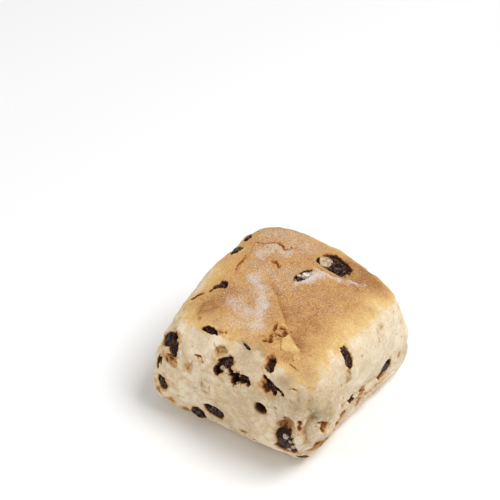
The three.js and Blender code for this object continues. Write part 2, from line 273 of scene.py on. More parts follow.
# Places where the skin tore open with no date behind: these are orange-brown inside, and a few are
# darker inside as painted shade.
TEARS = {
    "near": (1.2, 0.22, 0.6, [
        ((28.8, -35.5, 31.2), (0, 1, -5), 4, 1.8), ((29, -35.4, 28.4), (1, 1, -5), 4, 1.7),
    ]),
    "near right": (0.9, 0.35, 0.6, [
        ((33.7, -27.6, 25.2), (0, 3, 1), 5.4, 5.4), ((33.6, -29.6, 27.6), (0, 4, -4), 5.4, 2),
        ((33.6, -28.6, 23), (0, 1, -4), 3.6, 1.8),
    ]),
    "near foot": (0.8, 0.4, 0.9, [
        ((32.2, -26.8, 13.6), (0, 5, 2), 6.4, 5.4), ((31.4, -29, 12.6), (0, 3, 2), 4, 2.4),
    ]),
    "corner": (0.9, 0.4, 0.8, [
        ((-27, -35.6, 28), (3, 0, 1), 3.4, 2.2), ((-29.4, -35.3, 26.2), (2, 0, -2), 3.2, 1.8),
        ((-31.6, -35, 24.2), (1, 0, -3), 3.2, 1.6), ((-28.6, -34.8, 28.8), (3, 0, 1), 2.6, 1.2),
    ]),
    "front dot": (0.5, 0.4, 0.6, [((20, -37, 34), (1, 0, -1), 1.8, 0.9)]),
    "brow end": (0.4, 0.3, 0.4, [
        ((-11.6, -25.7, 43), (4, 1, 0), 2.6, 0.9), ((-9.8, -25.4, 43.3), (1, 0, 0), 1.6, 0.9),
    ]),
    "brow left": (0.7, 0.3, 0.6, [((11, -26.8, 45.2), (1, -3, 0), 2.8, 1.8)]),
    "middle left": (1.6, 0.35, 0.9, [((14.9, -35.8, 39.8), (3, -1, -1), 5.4, 4)]),
    "foot back": (1.1, 0.25, 0.4, [((34, 12, 13.4), (0, -4, -1), 4.4, 2.6)]),
    "foot middle": (0.9, 0.3, 0.3, [((33, -0.4, 16.2), (0, -5, 2), 4.6, 1.6)]),
    "foot low": (0.9, 0.3, 0.3, [((32.6, 0.2, 11.4), (0, -4, 1), 4, 1.6)]),
    "foot front": (1.1, 0.3, 0.3, [((33.8, -13.2, 19.6), (0, -6, 4), 7, 1.7)]),
    "foot near": (1.1, 0.3, 0.5, [((33.4, -16.4, 14.4), (0, -5, 3), 5, 2.4)]),
    "slit end": (0.7, 0.3, 0.5, [((34.4, -16.2, 25), (0, -5, 2), 5.6, 1.2)]),
    "back slit": (0.9, 0.3, 0.4, [((-8, 37, 27), (4, 0, 2), 5, 1.5)]),
    "back low": (1.2, 0.3, 0.5, [((4, 37, 12), (4, 0, -1), 5.4, 2.4)]),
    "back high": (0.8, 0.25, 0.3, [((16, 36.5, 37.5), (3, 0, -2), 4, 1.4)]),
    "back pit": (1.5, 0.3, 0.5, [((-30, 33, 12), (4, 1, -2), 5.4, 3.2)]),
    "left slit": (0.9, 0.3, 0.4, [((-38, -3, 13), (0, 4, -2), 5.4, 1.8)]),
    "left high": (1.0, 0.3, 0.5, [((-36, 12, 38), (0, 3, 1), 4.4, 2)]),
    "left pit": (1.3, 0.3, 0.5, [((-38, -28, 26), (0, 3, -2), 4.6, 2.6)]),
    "right edge": (0.5, 0.3, 0.4, [((34.7, 23.5, 16.7), (0, -1, -4), 4.6, 1.6)]),
    "top": (0.5, 0.25, 0.2, [((-13.5, 10.2, 48.6), (3, 1, 0), 2.6, 1.4)]),
    "top far": (0.7, 0.25, 0.3, [
        ((-16, 18.6, 49.7), (3, 0, 0), 3.6, 1.7), ((-12.4, 18, 49.3), (3, 1, 0), 3.2, 0.9),
        ((-12.4, 20.6, 49.4), (1, -2, 0), 1.6, 0.9), ((-11.3, 21.2, 49.2), (1, 0, 0), 1, 0.8),
    ]),
    "crust": (0.9, 0.3, 0.5, [
        ((4.8, -15.9, 46.6), (-1, 3, 0), 4, 2.1), ((7.6, -15.2, 46.7), (1, 0, 0), 3.8, 1.6),
        ((9.5, -16.3, 46.8), (1, -2, 0), 4.6, 2.8), ((7.8, -17.7, 46.5), (1, 0, 0), 3.6, 1.4),
        ((6.1, -20, 46.1), (-1, -3, 0), 3.4, 1.6), ((5.4, -19.2, 46.1), (0, -1, 0), 2.4, 1.4),
        ((4.5, -21.8, 45.7), (1, 0, 0), 2.8, 2), ((6.4, -21.7, 45.8), (1, 0, 0), 3, 2.2),
    ]),
    "crust foot": (0.3, 0.3, 0, [((19.4, -26.8, 45.6), (6, -1, 0), 7, 0.7)]),
    "rim date": (0.6, 0.3, 0.6, [((-29.9, 8, 45.9), (3, 1, 0), 3.8, 1.8)]),
}
# Places where the dough shrank back from a date: smooth hollows, painted a little darker inside and
# along their upper edge, as painted shade.
HOLLOWS = {
    "over the large date": (2, 0.1, 0.3, [
        ((25.2, -36.6, 27.8), (-1, 0, 6), 7.4, 5.4), ((24, -36.8, 26), (1, 0, 0), 6, 4.4),
    ]),
    "over the upper date": (1.3, 0.2, 0.3, [((-7.8, -31.2, 40.2), (4, 2, 2), 5.8, 4.8)]),
    "shell": (0.5, 0.3, 0.2, [((-11.6, -36.7, 24.6), (-1, 0, 3), 4.8, 3.2)]),
    "under the tall date": (0.7, 0.1, 0.3, [((34, -12.8, 37), (1, -1, -5), 5.4, 2.4)]),
}
DATE_NODES = sorted(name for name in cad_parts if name.startswith("date_"))


def on_skin(point):
    """The number of the skin's point nearest to a place."""
    return ((skin - point) ** 2).sum(1).argmin()


def axes_on(out, run):
    """Three axes: along the run, laid flat on a skin that faces out, across it, and out."""
    along = unit(np.array(run) - (out @ run) * out)
    return np.stack([along, np.cross(out, along), out])


def seat_of(name):
    """Where a date lies: its middle, its axes (along, across and out of the dough) and its half sizes.
    Along is the way in which the date's corners spread most."""
    corners = np.array([corner.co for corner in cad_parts[name].data.vertices]) * 1000 - PLACE
    middle = (corners.min(0) + corners.max(0)) / 2
    spread = np.linalg.svd(corners - corners.mean(0), full_matrices=False)[2][0]
    axes = axes_on(outward[on_skin(middle)], spread)
    return middle, axes, np.ptp((corners - middle) @ axes.T, axis=0) / 2


def opening(row):
    """An opening with its ovals put down on the skin: depth, raggedness, staining, and for each oval its
    middle, axes and half sizes."""
    depth, ragged, staining, ovals = row
    placed = []
    for place, run, length, width in ovals:
        nearest = on_skin(place)
        placed.append((skin[nearest], axes_on(outward[nearest], run), (length / 2, width / 2)))
    return depth, ragged, staining, placed


SEATS = {name: seat_of(name) for name in DATE_NODES}
OPENINGS = {name: opening(row) for name, row in (MOUTHS | TEARS | HOLLOWS).items()}
# A date without a row of its own has a mouth of one oval, this share of its own length and width.
PLAIN_DEPTH, PLAIN_RAGGEDNESS, PLAIN_STAIN, PLAIN_SHARE = 1.5, 0.16, 0.5, 0.85
for name in DATE_NODES:
    if name not in OPENINGS:
        middle, axes, half = SEATS[name]
        oval = (middle, axes[0], *(2 * PLAIN_SHARE * half[:2]))
        OPENINGS[name] = opening((PLAIN_DEPTH, PLAIN_RAGGEDNESS, PLAIN_STAIN, [oval]))
# An opening is looked for this near its first oval and this deep, and is out of reach elsewhere.
OPENING_REACH, OPENING_DEPTH, OUT_OF_REACH = 16, 6, 9
DATE_BLUNTNESS, TEAR_BLUNTNESS = 2.5, 1.8
# The noise that makes a rim ragged: sizes in millimetres, strengths and seeds.
TATTERS = [(2.4, 1, 21), (1.1, 0.8, 22), (0.6, 0.4, 23)]


def from_mouth(points, name):
    """How far out from an opening's middle each point is: 0 in the middle, 1 on its rim. It is the
    smallest of its ovals' (|along / half length|^n + |across / half width|^n)^(1/n), with n the
    bluntness, made ragged by noise."""
    _, ragged, _, ovals = OPENINGS[name]
    blunt = DATE_BLUNTNESS if name in DATE_NODES else TEAR_BLUNTNESS
    reach = np.full(len(points), float(OUT_OF_REACH))
    close = ((points - ovals[0][0]) ** 2).sum(1) < OPENING_REACH**2
    near = points[close]
    for over, axes, (half_length, half_width) in ovals:
        along, across, out = ((near - over) @ axes.T).T
        oval = (abs(along / half_length) ** blunt + abs(across / half_width) ** blunt) ** (1 / blunt)
        oval = np.where(abs(out) < OPENING_DEPTH, oval, OUT_OF_REACH)
        reach[close] = np.minimum(reach[close], oval)
    tatters = sum(strength * noise(near, size, seed) for size, strength, seed in TATTERS)
    reach[close] = np.minimum(reach[close] + ragged * tatters, OUT_OF_REACH)
    return reach


# ---- Folds, creases and tears -------------------------------------------------------------------
# The skin folded as the dough was shaped, and it cracked and tore as it rose. A fold is a soft ridge
# on the left of its line and a step down on the right. A tear also shows the browned dough in it.

# Each line: its corners, the height and width of the rise on its left and of the drop on its right,
# the depth and width of the cut, how torn it is, how much paler its left is than its right, and how
# far it wanders.
LINES = {
    "middle fold": (
        [
            (18.8, -24.5), (18.7, -20.6), (14.6, -17.6), (9.6, -14), (3.7, -9.6), (-1.8, -3.8),
            (-7.6, -0.1), (-12, 4),
        ],
        (0.85, 2.2), (0.9, 3), (0.15, 0.3), 0.1, 0.8, 0.35,
    ),
    "flap": (
        [(9.2, -17.4), (10.6, -20), (12.6, -22.4), (16, -23.4)],
        (0.6, 1.2), (0.4, 1.5), (0, 0.3), 0, 1.15, 0.4,
    ),
    "flake": (
        [(9.2, -17), (11.4, -16.2), (15.6, -18.4), (18.2, -19.6), (19, -21.6)],
        (-0.3, 1), (-0.4, 0.9), (0, 0.3), 0, -1.2, 0.4,
    ),
    "crease": ([(14.4, -22), (17, -23.4), (19.6, -25.6)], (0.3, 1.2), (0.4, 1.5), (0, 0.3), 0.25, 1, 0.4),
    "back fold": (
        [(18, 23.8), (14.8, 22.5), (8.1, 19.2), (0.7, 17.6), (-4.2, 18.9), (-9, 19.4), (-14.5, 18.3)],
        (0.6, 2), (1.1, 6), (0.15, 0.4), 0.1, 0.3, 0.4,
    ),
    "back branch": (
        [(-5, 20.5), (-7.2, 26.2), (-11.1, 28.3)],
        (0.3, 1.5), (0.4, 2.5), (0.1, 0.3), 0.1, 0.4, 0.4,
    ),
    "far tear": (
        [
            (-10.8, 19.2), (-13.2, 17.7), (-15.1, 18.5), (-17.3, 18.2), (-20, 17.3), (-22.1, 16.3),
            (-25.7, 15.7), (-25.3, 12.9), (-25.6, 10.6),
        ],
        (0.15, 1.5), (0.4, 1.5), (0.5, 0.5), 0.95, 0.3, 0.6,
    ),
    "hair crack": (
        [
            (-17.1, -34.2, 35.7), (-15.8, -34.2, 35.9), (-14.4, -34.3, 36), (-13.7, -34.8, 35.1),
            (-12.6, -35.1, 34.2),
        ],
        (0.3, 1), (0.3, 1), (0.4, 0.32), 1.5, 0, 0.5,
    ),
    "hair branch": (
        [(-15.8, -34.2, 35.9), (-14.8, -34.9, 34.9), (-13.8, -35.2, 33.9)],
        (0.1, 1), (0.1, 1), (0.3, 0.25), 0.7, 0, 0.5,
    ),
    "top crack": (
        [
            (-14.6, 10.6), (-13.1, 9.7), (-12.8, 11.2), (-11.7, 10.3), (-10.5, 9.1), (-10, 10.4),
            (-9.6, 11.2),
        ],
        (0.1, 1), (0.2, 1), (0.4, 0.55), 0.85, 0, 0.15,
    ),
    "left rim tear": (
        [(-22.6, -2.2), (-23.4, 0), (-24.2, 3.1), (-24.4, 5.5), (-24.4, 7.4), (-24.6, 10.2)],
        (0.15, 1), (0.3, 1.5), (0.4, 0.45), 0.85, 0.2, 0.7,
    ),
    "left crack": (
        [
            (-32, -17, 40.3), (-31.6, -16.4, 40.7), (-30.3, -14.9, 42), (-28.4, -13.3, 43.3),
            (-27.8, -12.8, 43.6),
        ],
        (0.3, 1), (0.3, 1), (0.5, 0.24), 2, 0.2, 0.2,
    ),
    "left tail": (
        [
            (-26.6, -13, 44.1), (-26.2, -12.5, 44.3), (-25.6, -11, 44.8), (-24.6, -9.6, 45.3),
            (-23.6, -8.6, 45.7),
        ],
        (0.3, 1), (0.2, 0.8), (0.5, 0.26), 2, 0, 0.2,
    ),
    "brow fold": (
        [
            (-20, -26, 42), (-11.7, -26.6, 42.8), (-2.7, -26.4, 43.5), (6.9, -26.9, 44.7),
            (11.5, -26, 45.5),
        ],
        (0.35, 1.8), (0.1, 2), (0, 0.4), 0, 0, 0.9,
    ),
    "pit fold": (
        [(-12, -29, 41.2), (-9.5, -30.6, 40.4), (-8.6, -33, 38.5), (-8.2, -35, 35.6)],
        (0.5, 1.2), (0.6, 2), (0.1, 0.4), 0.2, 0, 0.4,
    ),
    "front curve": (
        [(-9.1, -36.5, 26.7), (-8.4, -36.6, 24.4), (-9, -36.6, 22.6), (-12.8, -36.8, 22)],
        (0.3, 1), (0.4, 1.5), (0.4, 0.4), 0.4, 0, 0.4,
    ),
    "near ridge": (
        [
            (28.2, -30, 43.7), (29.1, -32.5, 41.8), (29.5, -34.5, 38.6), (29.2, -35.4, 35),
            (29, -35.2, 27.7), (28.6, -34.8, 20.8), (28, -33.9, 14.9), (26.8, -32.2, 8),
        ],
        (1.3, 1.2), (-1.3, 1.4), (0, 0.4), 0, 0, 0.7,
    ),
    "near groove": (
        [
            (33.6, -30.3, 33.1), (32.8, -31.9, 31.9), (31.5, -33.6, 30.6), (30.5, -34.3, 28),
            (30.2, -34.2, 23), (29.8, -33.5, 17),
        ],
        (0.3, 1.4), (-0.3, 1.4), (1.2, 0.8), 0.3, 0, 0.6,
    ),
    "near groove upper": (
        [(33.1, -31.4, 34.9), (32.3, -32.8, 33.7), (31.2, -34, 31)],
        (0.3, 1), (-0.3, 1), (0.9, 0.55), 0.35, 0, 0.5,
    ),
    "corner crack": (
        [(24.1, -35.7, 39.8), (25.6, -35.4, 39.8), (27.7, -35.2, 39)],
        (0.2, 1), (0.2, 1), (0.3, 0.2), 0.4, 0, 0.6,
    ),
    "corner dashes": (
        [(22, -34.2, 42.2), (24.1, -33.3, 42.8), (25.8, -33.4, 42.5), (27, -33.6, 41.8)],
        (0.1, 1), (0.1, 1), (0.3, 0.2), 0.9, 0, 0.5,
    ),
    "corner crease": (
        [(28.5, -30.5, 43.4), (29.3, -30.2, 43.1), (30.8, -28.7, 42.7)],
        (0.3, 1), (0.2, 1), (0.4, 0.3), 0.2, 0, 0.4,
    ),
    "near crease": (
        [(27.9, -29.7, 44), (30.2, -32, 40.4), (31, -33.6, 36), (30.8, -34, 30.6)],
        (0, 1.6), (0, 2.5), (0.6, 0.9), 0, 0, 1.2,
    ),
    "right foot fold": (
        [
            (33.6, 19, 15), (34.1, 13.6, 14.4), (33.4, 6.3, 15.5), (32.8, -0.7, 17), (34.2, -8, 20.6),
            (34.5, -15.6, 24), (34.4, -19, 22),
        ],
        (0.8, 2), (0.7, 2.5), (0.4, 0.5), 0.2, 0, 0.7,
    ),
    "right foot lip": (
        [
            (34, 22.3, 9.4), (32.9, 12, 9), (32.4, 2.8, 11.4), (32.8, -6, 14), (33.2, -12, 16),
            (33.2, -19, 15.4), (33, -24, 12),
        ],
        (0.3, 1.5), (0.9, 2.5), (0.5, 0.5), 0.3, 0, 0.8,
    ),
    "left fold": (
        [
            (-39, -30, 20), (-39, -20, 22), (-38, -8, 18), (-37, 4, 14), (-37, 15, 15), (-34, 28, 19),
            (-31, 33, 22),
        ],
        (0.8, 2), (0.7, 2.5), (0.3, 0.5), 0.15, 0, 0.8,
    ),
    "back fold low": (
        [
            (33, 34, 22), (24, 37, 19), (12, 38, 13), (0, 38, 11), (-10, 38, 15), (-20, 37, 17),
            (-28, 34, 14),
        ],
        (0.8, 2), (0.7, 2.5), (0.3, 0.5), 0.15, 0, 0.8,
    ),
}
# Patches where the crust broke up into flakes: middle, way that it runs, length and width.
BROKEN = [
    ((7.4, -16.6, 46.5), (4, 3, 0), 7.4, 5.6), ((4.8, -21, 45.8), (3, 1, 0), 6, 2.6),
    ((-26.6, -35.6, 28), (1, 0, 0), 6, 4.4),
]
# A line wanders by noise of this size. Corners given by two numbers lie on the skin above this height.
# A point that nothing is near counts as this far off.
WANDER_SIZE, WANDER_SEED = 2.8, 31
UPPER_SKIN = 30
FAR_OFF = 99.0
# A broken patch is this deep, and its outline is ragged by this much.
PATCH_DEPTH, PATCH_RAGGEDNESS = 4, 0.35


def wander(points):
    """A smooth random shift for every point, about 1 long, that makes straight lines run unevenly."""
    return np.stack([layered_noise(points, WANDER_SIZE, WANDER_SEED + k, 2) for k in range(3)], -1)


def laid(corners):
    """The corners of a line put down on the skin: at the nearest point, or seen from above if flat.
    Corners that fall on one point are one."""
    axes = len(corners[0])
    chosen = skin[skin[:, 2] > UPPER_SKIN] if axes == 2 else skin
    nearest = [((chosen[:, :axes] - corner) ** 2).sum(1).argmin() for corner in corners]
    return chosen[list(dict.fromkeys(nearest))]


def from_line(points, normals, ends):
    """How far each point is from a line through the ends given, on which side of it (1 left, -1 right),
    and how far along it, from 0 to 1."""
    steps = np.linalg.norm(np.diff(ends, axis=0), axis=1)
    away, side, share = np.full(len(points), FAR_OFF), np.ones(len(points)), np.zeros(len(points))
    for k, (start, end) in enumerate(zip(ends[:-1], ends[1:])):
        t = np.clip((points - start) @ (end - start) / steps[k] ** 2, 0, 1)
        off = points - start - t[:, None] * (end - start)
        far = np.linalg.norm(off, axis=1)
        nearer = far < away
        away[nearer] = far[nearer]
        share[nearer] = (steps[:k].sum() + t * steps[k])[nearer] / steps.sum()
        side[nearer] = np.sign((np.cross(end - start, off) * normals).sum(-1))[nearer]
    return away, side, share


def crackle(points):
    """Two numbers a point for the broken patches: how much in a patch, and how much on a crack. Cracks
    run round the edge of a patch, and across it where a noise passes through 0."""
    nearest = np.full(len(points), FAR_OFF)
    for middle, run, length, width in BROKEN:
        along, across, out = ((points - middle) @ axes_on(outward[on_skin(middle)], run).T).T
        oval = np.hypot(along / (length / 2), across / (width / 2))
        nearest = np.where(abs(out) < PATCH_DEPTH, np.minimum(nearest, oval), nearest)
    nearest = nearest + PATCH_RAGGEDNESS * noise(points, size=2.2, seed=61)
    inside = smoothstep(1.12, 0.9, nearest)
    edge = np.exp(-(((nearest - 0.95) / 0.13) ** 2))
    edge = edge * smoothstep(-0.35, 0.25, noise(points, size=2.6, seed=64))
    winding = noise(points, size=1.9, seed=62) + 0.3 * noise(points, size=0.9, seed=63)
    across = inside * smoothstep(0.16, 0.04, abs(winding))
    return inside, np.maximum(edge, 0.8 * across)


# The net is cut finer twice: near the lines and the rims of the openings, and again at their very
# edge. Each time has how near a line, and between which reaches of a rim. A tear's rim is cut from
# further in, by this share, and a broken patch is cut wherever there is this much of it.
CUTS = [(1.0, 0.55, 1.25), (0.3, 0.78, 1.05)]
TEAR_SHARE, PATCH_SHARE = 0.6, 0.1
LAID = {name: laid(row[0]) for name, row in LINES.items()}
for line_reach, inner, outer in CUTS:
    shift = wander(skin)
    near = crackle(skin)[0] > PATCH_SHARE
    for name, row in LINES.items():
        near |= from_line(skin + row[-1] * shift, outward, LAID[name])[0] < line_reach
    for name in OPENINGS:
        reach = from_mouth(skin, name)
        near |= (reach > inner * (1 if name in DATE_NODES else TEAR_SHARE)) & (reach < outer)
    cube, net = split_near(cube, net, near[net].any(1))
    skin = puff(cube)
    outward = facing(skin, net)

# A line fades out over this share of its length at either end, its step is this soft, and it changes
# the colour of the skin this far away. A tear comes and goes along its line.
LINE_END, STEP_SOFTNESS, CONTRAST_WIDTH = 0.15, 0.25, 2.2
raised, torn, paler, groove_shade = np.zeros((4, len(skin)))
shift = wander(skin)
dashed = 0.4 + 0.6 * smoothstep(-0.4, 0.3, noise(skin, size=2.2, seed=66))
for name, (_, rise, drop, cut, tearing, contrast, wandering) in LINES.items():
    away, side, share = from_line(skin + wandering * shift, outward, LAID[name])
    ending = smoothstep(0, LINE_END, share) * smoothstep(1, 1 - LINE_END, share)
    left = (1 + np.tanh(side * away / STEP_SOFTNESS)) / 2
    raised += ending * left * rise[0] * np.exp(-away / rise[1])
    raised -= ending * (1 - left) * drop[0] * np.exp(-away / drop[1])
    raised -= ending * cut[0] * np.exp(-((away / cut[1]) ** 2))
    in_tear, in_groove = (np.exp(-((away / (wider * cut[1])) ** 2)) for wider in (1.2, 1.8))
    torn = np.maximum(torn, tearing * ending * dashed * in_tear)
    # Painted shade along the groove of a cut.
    groove_shade = np.maximum(groove_shade, ending * min(1.5 * cut[0], 1) * in_groove)
    paler += contrast * ending * (1.4 * left - 0.7) * np.exp(-away / CONTRAST_WIDTH)
# A broken patch is uneven, a little sunk, and cracked.
in_patch, on_crack = crackle(skin)
raised += in_patch * (0.3 * noise(skin, size=1.7, seed=65) - 0.15) - 0.5 * on_crack
torn = np.maximum(torn, 0.25 * in_patch + 0.35 * on_crack)

# ---- Crust --------------------------------------------------------------------------------------
# Only the top saw the oven's heat, so it is a thin golden crust, with some of the flour that the dough
# was shaped on. It ends at the shoulder, raggedly in front and softly on the right. The sides are pale.

# The crust's rim, going round: azimuth from +X and elevation seen from the heart, in degrees, and how
# many millimetres wide the change of colour is.
RIM = np.array([
    (-180, 30, 4), (-158, 27.5, 3), (-150, 20, 4), (-138, 21, 4.5), (-120, 31, 3.4), (-105, 34, 2.6),
    (-97, 36, 2), (-74, 35, 1.6), (-54, 29, 2.4), (-45, 22, 3.2), (-29, 32, 5), (-4, 34.5, 8),
    (25, 29, 9), (38, 24, 8), (52, 14, 7), (90, 26, 6), (135, 18, 5), (180, 30, 4),
])
# Where the oven browned it more (or less): middle, how wide and how much.
BROWNED = [
    ((14.3, 31.9, 41.6), 8, 0.45), ((24, 27.8, 40.4), 6, 0.35), ((-22.6, -19.3, 44), 2.6, 0.9),
    ((15.3, -4.8, 47.5), 7, 0.15), ((9.6, -13.6, 47), 2.6, -0.35), ((13, -20.4, 46.3), 2.4, -0.1),
    ((17.8, -15, 46.8), 6, 0.05), ((16.9, -24.6, 46.1), 2.2, 0.5), ((-22, -18, 44), 6, 0.2),
    ((-20, -8, 46), 5, 0.2), ((9, -28, 44.5), 5, 0.2), ((8, 20, 46), 6, -0.1), ((-3, -24, 44.5), 5, 0.2),
    ((24, 8, 45), 6, 0.2), ((29, -19.7, 44.5), 6, -0.15), ((8, 30, 44), 7, 0.3), ((16, 26, 44.5), 7, 0.3),
]
# Strokes of flour: corners, width and how thick.
FLOURED = [
    ([(-15.5, 0.5), (-11, -3), (-7, -5.4), (-5, -9), (-3.7, -12.9), (-1.5, -19)], 3.2, 1),
    ([(-14, -13), (-8, -15)], 4.5, 0.8),
    ([(-10.9, -20.4), (-1.5, -19.2)], 3, 0.6),
    ([(-20, 11), (-17.5, 16), (-11.8, 16.7)], 3.2, 0.8),
    ([(-21.8, 21.4), (-9.3, 23.9)], 8, 0.6),
    ([(-16, 5), (-10, 8), (-3, 5)], 7, 0.45), ([(5.8, -18.4), (7.6, -16.6)], 1.2, 1),
    ([(0.7, 16.4), (8.1, 18.2), (14.8, 21.6), (18, 23)], 1.4, 1.1),
    ([(-2, 8), (1, 11), (3, 15)], 2.6, 1.2),
    ([(-14, -6), (-9, -14)], 9, 0.36),
    ([(2, 2), (14, 4)], 8, 0.2),
    ([(34, -10, 27), (34.2, -6, 30)], 3, 0.4),
    (
        [(28.2, -30, 43.7), (29.5, -34.5, 38.6), (29.2, -35.4, 35), (29, -35.2, 27.7), (28, -33.9, 14.9)],
        1.3, 0.25,
    ),
    ([(32.6, -31, 22), (33, -29, 19)], 2.4, 0.7),
]
# Round marks: middle, how wide and how strong. Juice is what the dates leaked, though the juice marks
# in dents and along the hollow over the large date are painted shade. A grey mark is a date or a damp
# place that shows grey through the skin, or painted shade in a dent, a hollow, on the near corner or
# low on the front; one below zero takes painted shade off the near ridge.
JUICE_AND_SHADE = [
    # on the top
    ((11.6, 25.6, 44.5), 2.4, 0.9), ((25.7, 14.6, 43), 0.8, 0.75), ((27, 13.8, 42.2), 0.6, 0.6),
    ((-12, -25.6, 43), 1.8, 0.7), ((11.5, -26.6, 45.3), 1.5, 1), ((10.6, -28.2, 44.6), 1.4, 0.8),
    ((-22.2, -19.4, 44), 1.4, 0.7), ((-22, -24, 42.5), 1.1, 1.2), ((16.6, -23.4, 46.1), 1.9, 0.6),
    ((-3.8, 9.4, 47.6), 1, 0.75), ((-3, 7.2, 47.4), 1, 0.6), ((30.9, -31.4, 41), 1, 0.4),
    # on the front
    ((-27, -35.6, 28.2), 2.6, 1), ((-31.6, -34, 27), 1.6, 0.8), ((23.9, -36.8, 28.3), 0.7, 0.7),
    ((23, -36.8, 26), 0.7, 0.8), ((22.2, -36.7, 23.7), 0.8, 0.9), ((21.5, -36.6, 21.4), 0.7, 1),
    ((20.9, -36.3, 18.2), 0.7, 0.9), ((-25.6, -37.5, 8.8), 1.3, 1.3), ((-19.8, -36.2, 6), 1.4, 1.3),
    ((4.5, -35, 8.8), 1, 1.4), ((-31.4, -37.4, 11.6), 1.2, 1.1), ((-34, -35.6, 13), 1.2, 1),
    ((2, -36, 9), 3, 0.3), ((-8, -36.5, 7.6), 2.4, 0.35), ((11, -36, 11), 2.6, 0.3),
    ((-2, -36.4, 20), 2.4, 0.25), ((21.8, -36.8, 25.4), 1.3, 0.9), ((21, -36.6, 22.6), 1.3, 1),
    ((-25.6, -34.2, 32.6), 1.4, 0.8), ((-29.4, -28.6, 36.8), 1.6, 0.7), ((14.4, -35.7, 39.2), 1.9, 1),
    ((5.1, -35, 8.4), 1.1, 0.9), ((-18.6, -36.3, 29.2), 2.4, 0.8), ((-18.4, -36, 31.4), 1.2, 0.6),
    ((-11.8, -36.7, 24.9), 2.2, 0.5), ((-9, -31.6, 39.8), 1.6, 0.6), ((-34.6, -33.5, 10), 3, 0.6),
    ((-27, -36.5, 4), 4, 0.5), ((-31.9, -37.6, 9.8), 2, 0.9), ((-27.8, -37.8, 7.6), 1.8, 0.9),
    ((-21.3, -37.2, 6), 2, 0.8), ((-7.6, -31.6, 40), 2.4, 0.5), ((-9.4, -33.6, 37.6), 1.4, 0.5),
    ((2.6, -36, 34.6), 2.4, 0.4),
    # at the near corner
    ((33.8, -27.6, 25.4), 1.4, 1.2), ((32.4, -27.4, 13.8), 1.8, 1.4), ((33.7, -28.9, 26.4), 1.8, 1),
    ((29.2, -35.2, 30), 0.8, 0.9), ((32.3, -29.3, 15.7), 2, 1), ((32.9, -26, 14.7), 1.6, 0.9),
    ((28, -33, 6), 1.6, 0.9), ((28.4, -32.6, 11), 1.8, 0.6), ((27.4, -34.4, 16), 0.9, 0.7),
    ((27, -35, 33), 0.8, 0.5), ((30.4, -33.2, 20), 1, 0.6), ((31.6, -33.4, 31), 0.7, 0.5),
    ((30.6, -34.2, 28.6), 0.7, 0.6),
    # on the right side
    ((34.5, -15.9, 25.5), 1.4, 0.9), ((34.4, -13.7, 24.9), 1.2, 0.7), ((33.9, -15.3, 19.2), 1.6, 1),
    ((32.9, -18.5, 13.8), 1.4, 0.9), ((31.2, -0.6, 9.4), 1.6, 0.9), ((32.5, -0.4, 15.8), 1.4, 0.9),
    ((31.6, 12.9, 38.7), 1, 0.75), ((33.6, -13.7, 18.2), 1.4, 0.9), ((33.5, -1, 16.6), 1.6, 0.9),
    ((33.2, -4.2, 14.5), 1.4, 0.7), ((34.7, 23.5, 16.7), 1.6, 0.6), ((34, 12.4, 14.2), 1.6, 0.9),
    ((33.7, 8.2, 36.1), 0.45, 1), ((34.4, -13.2, 35.3), 1.2, 0.5), ((32.4, 0, 14.6), 1.9, 0.9),
    ((31.6, -1.3, 10.8), 1.5, 1), ((34.1, -16, 20), 1.9, 0.9), ((32.9, 1.5, 16.2), 1, 0.9),
    ((34, 11.7, 15), 1.8, 1.1), ((34.4, -13.6, 35.1), 1.4, 0.6), ((34.4, 26, 30), 1.8, 0.4),
    # on the back
    ((-18, 37, 30), 2, 0.6), ((2, 37, 18), 2.4, 0.5), ((20, 37, 14), 2, 0.7), ((-27, 35, 30), 2.2, 0.6),
    ((12, 37, 30), 1.8, 0.5), ((30, 33, 20), 2, 0.6),
    # on the left side
    ((-30.8, -24.7, 38.4), 0.9, 0.7), ((-31.5, -21.1, 39.3), 0.8, 0.8), ((-32.6, -17.3, 39.7), 0.8, 0.8),
    ((-37, -12, 24), 2.2, 0.6), ((-37, 14, 16), 2, 0.6), ((-34, 28, 26), 2, 0.5),
    ((-38, -24, 33), 1.8, 0.6),
]
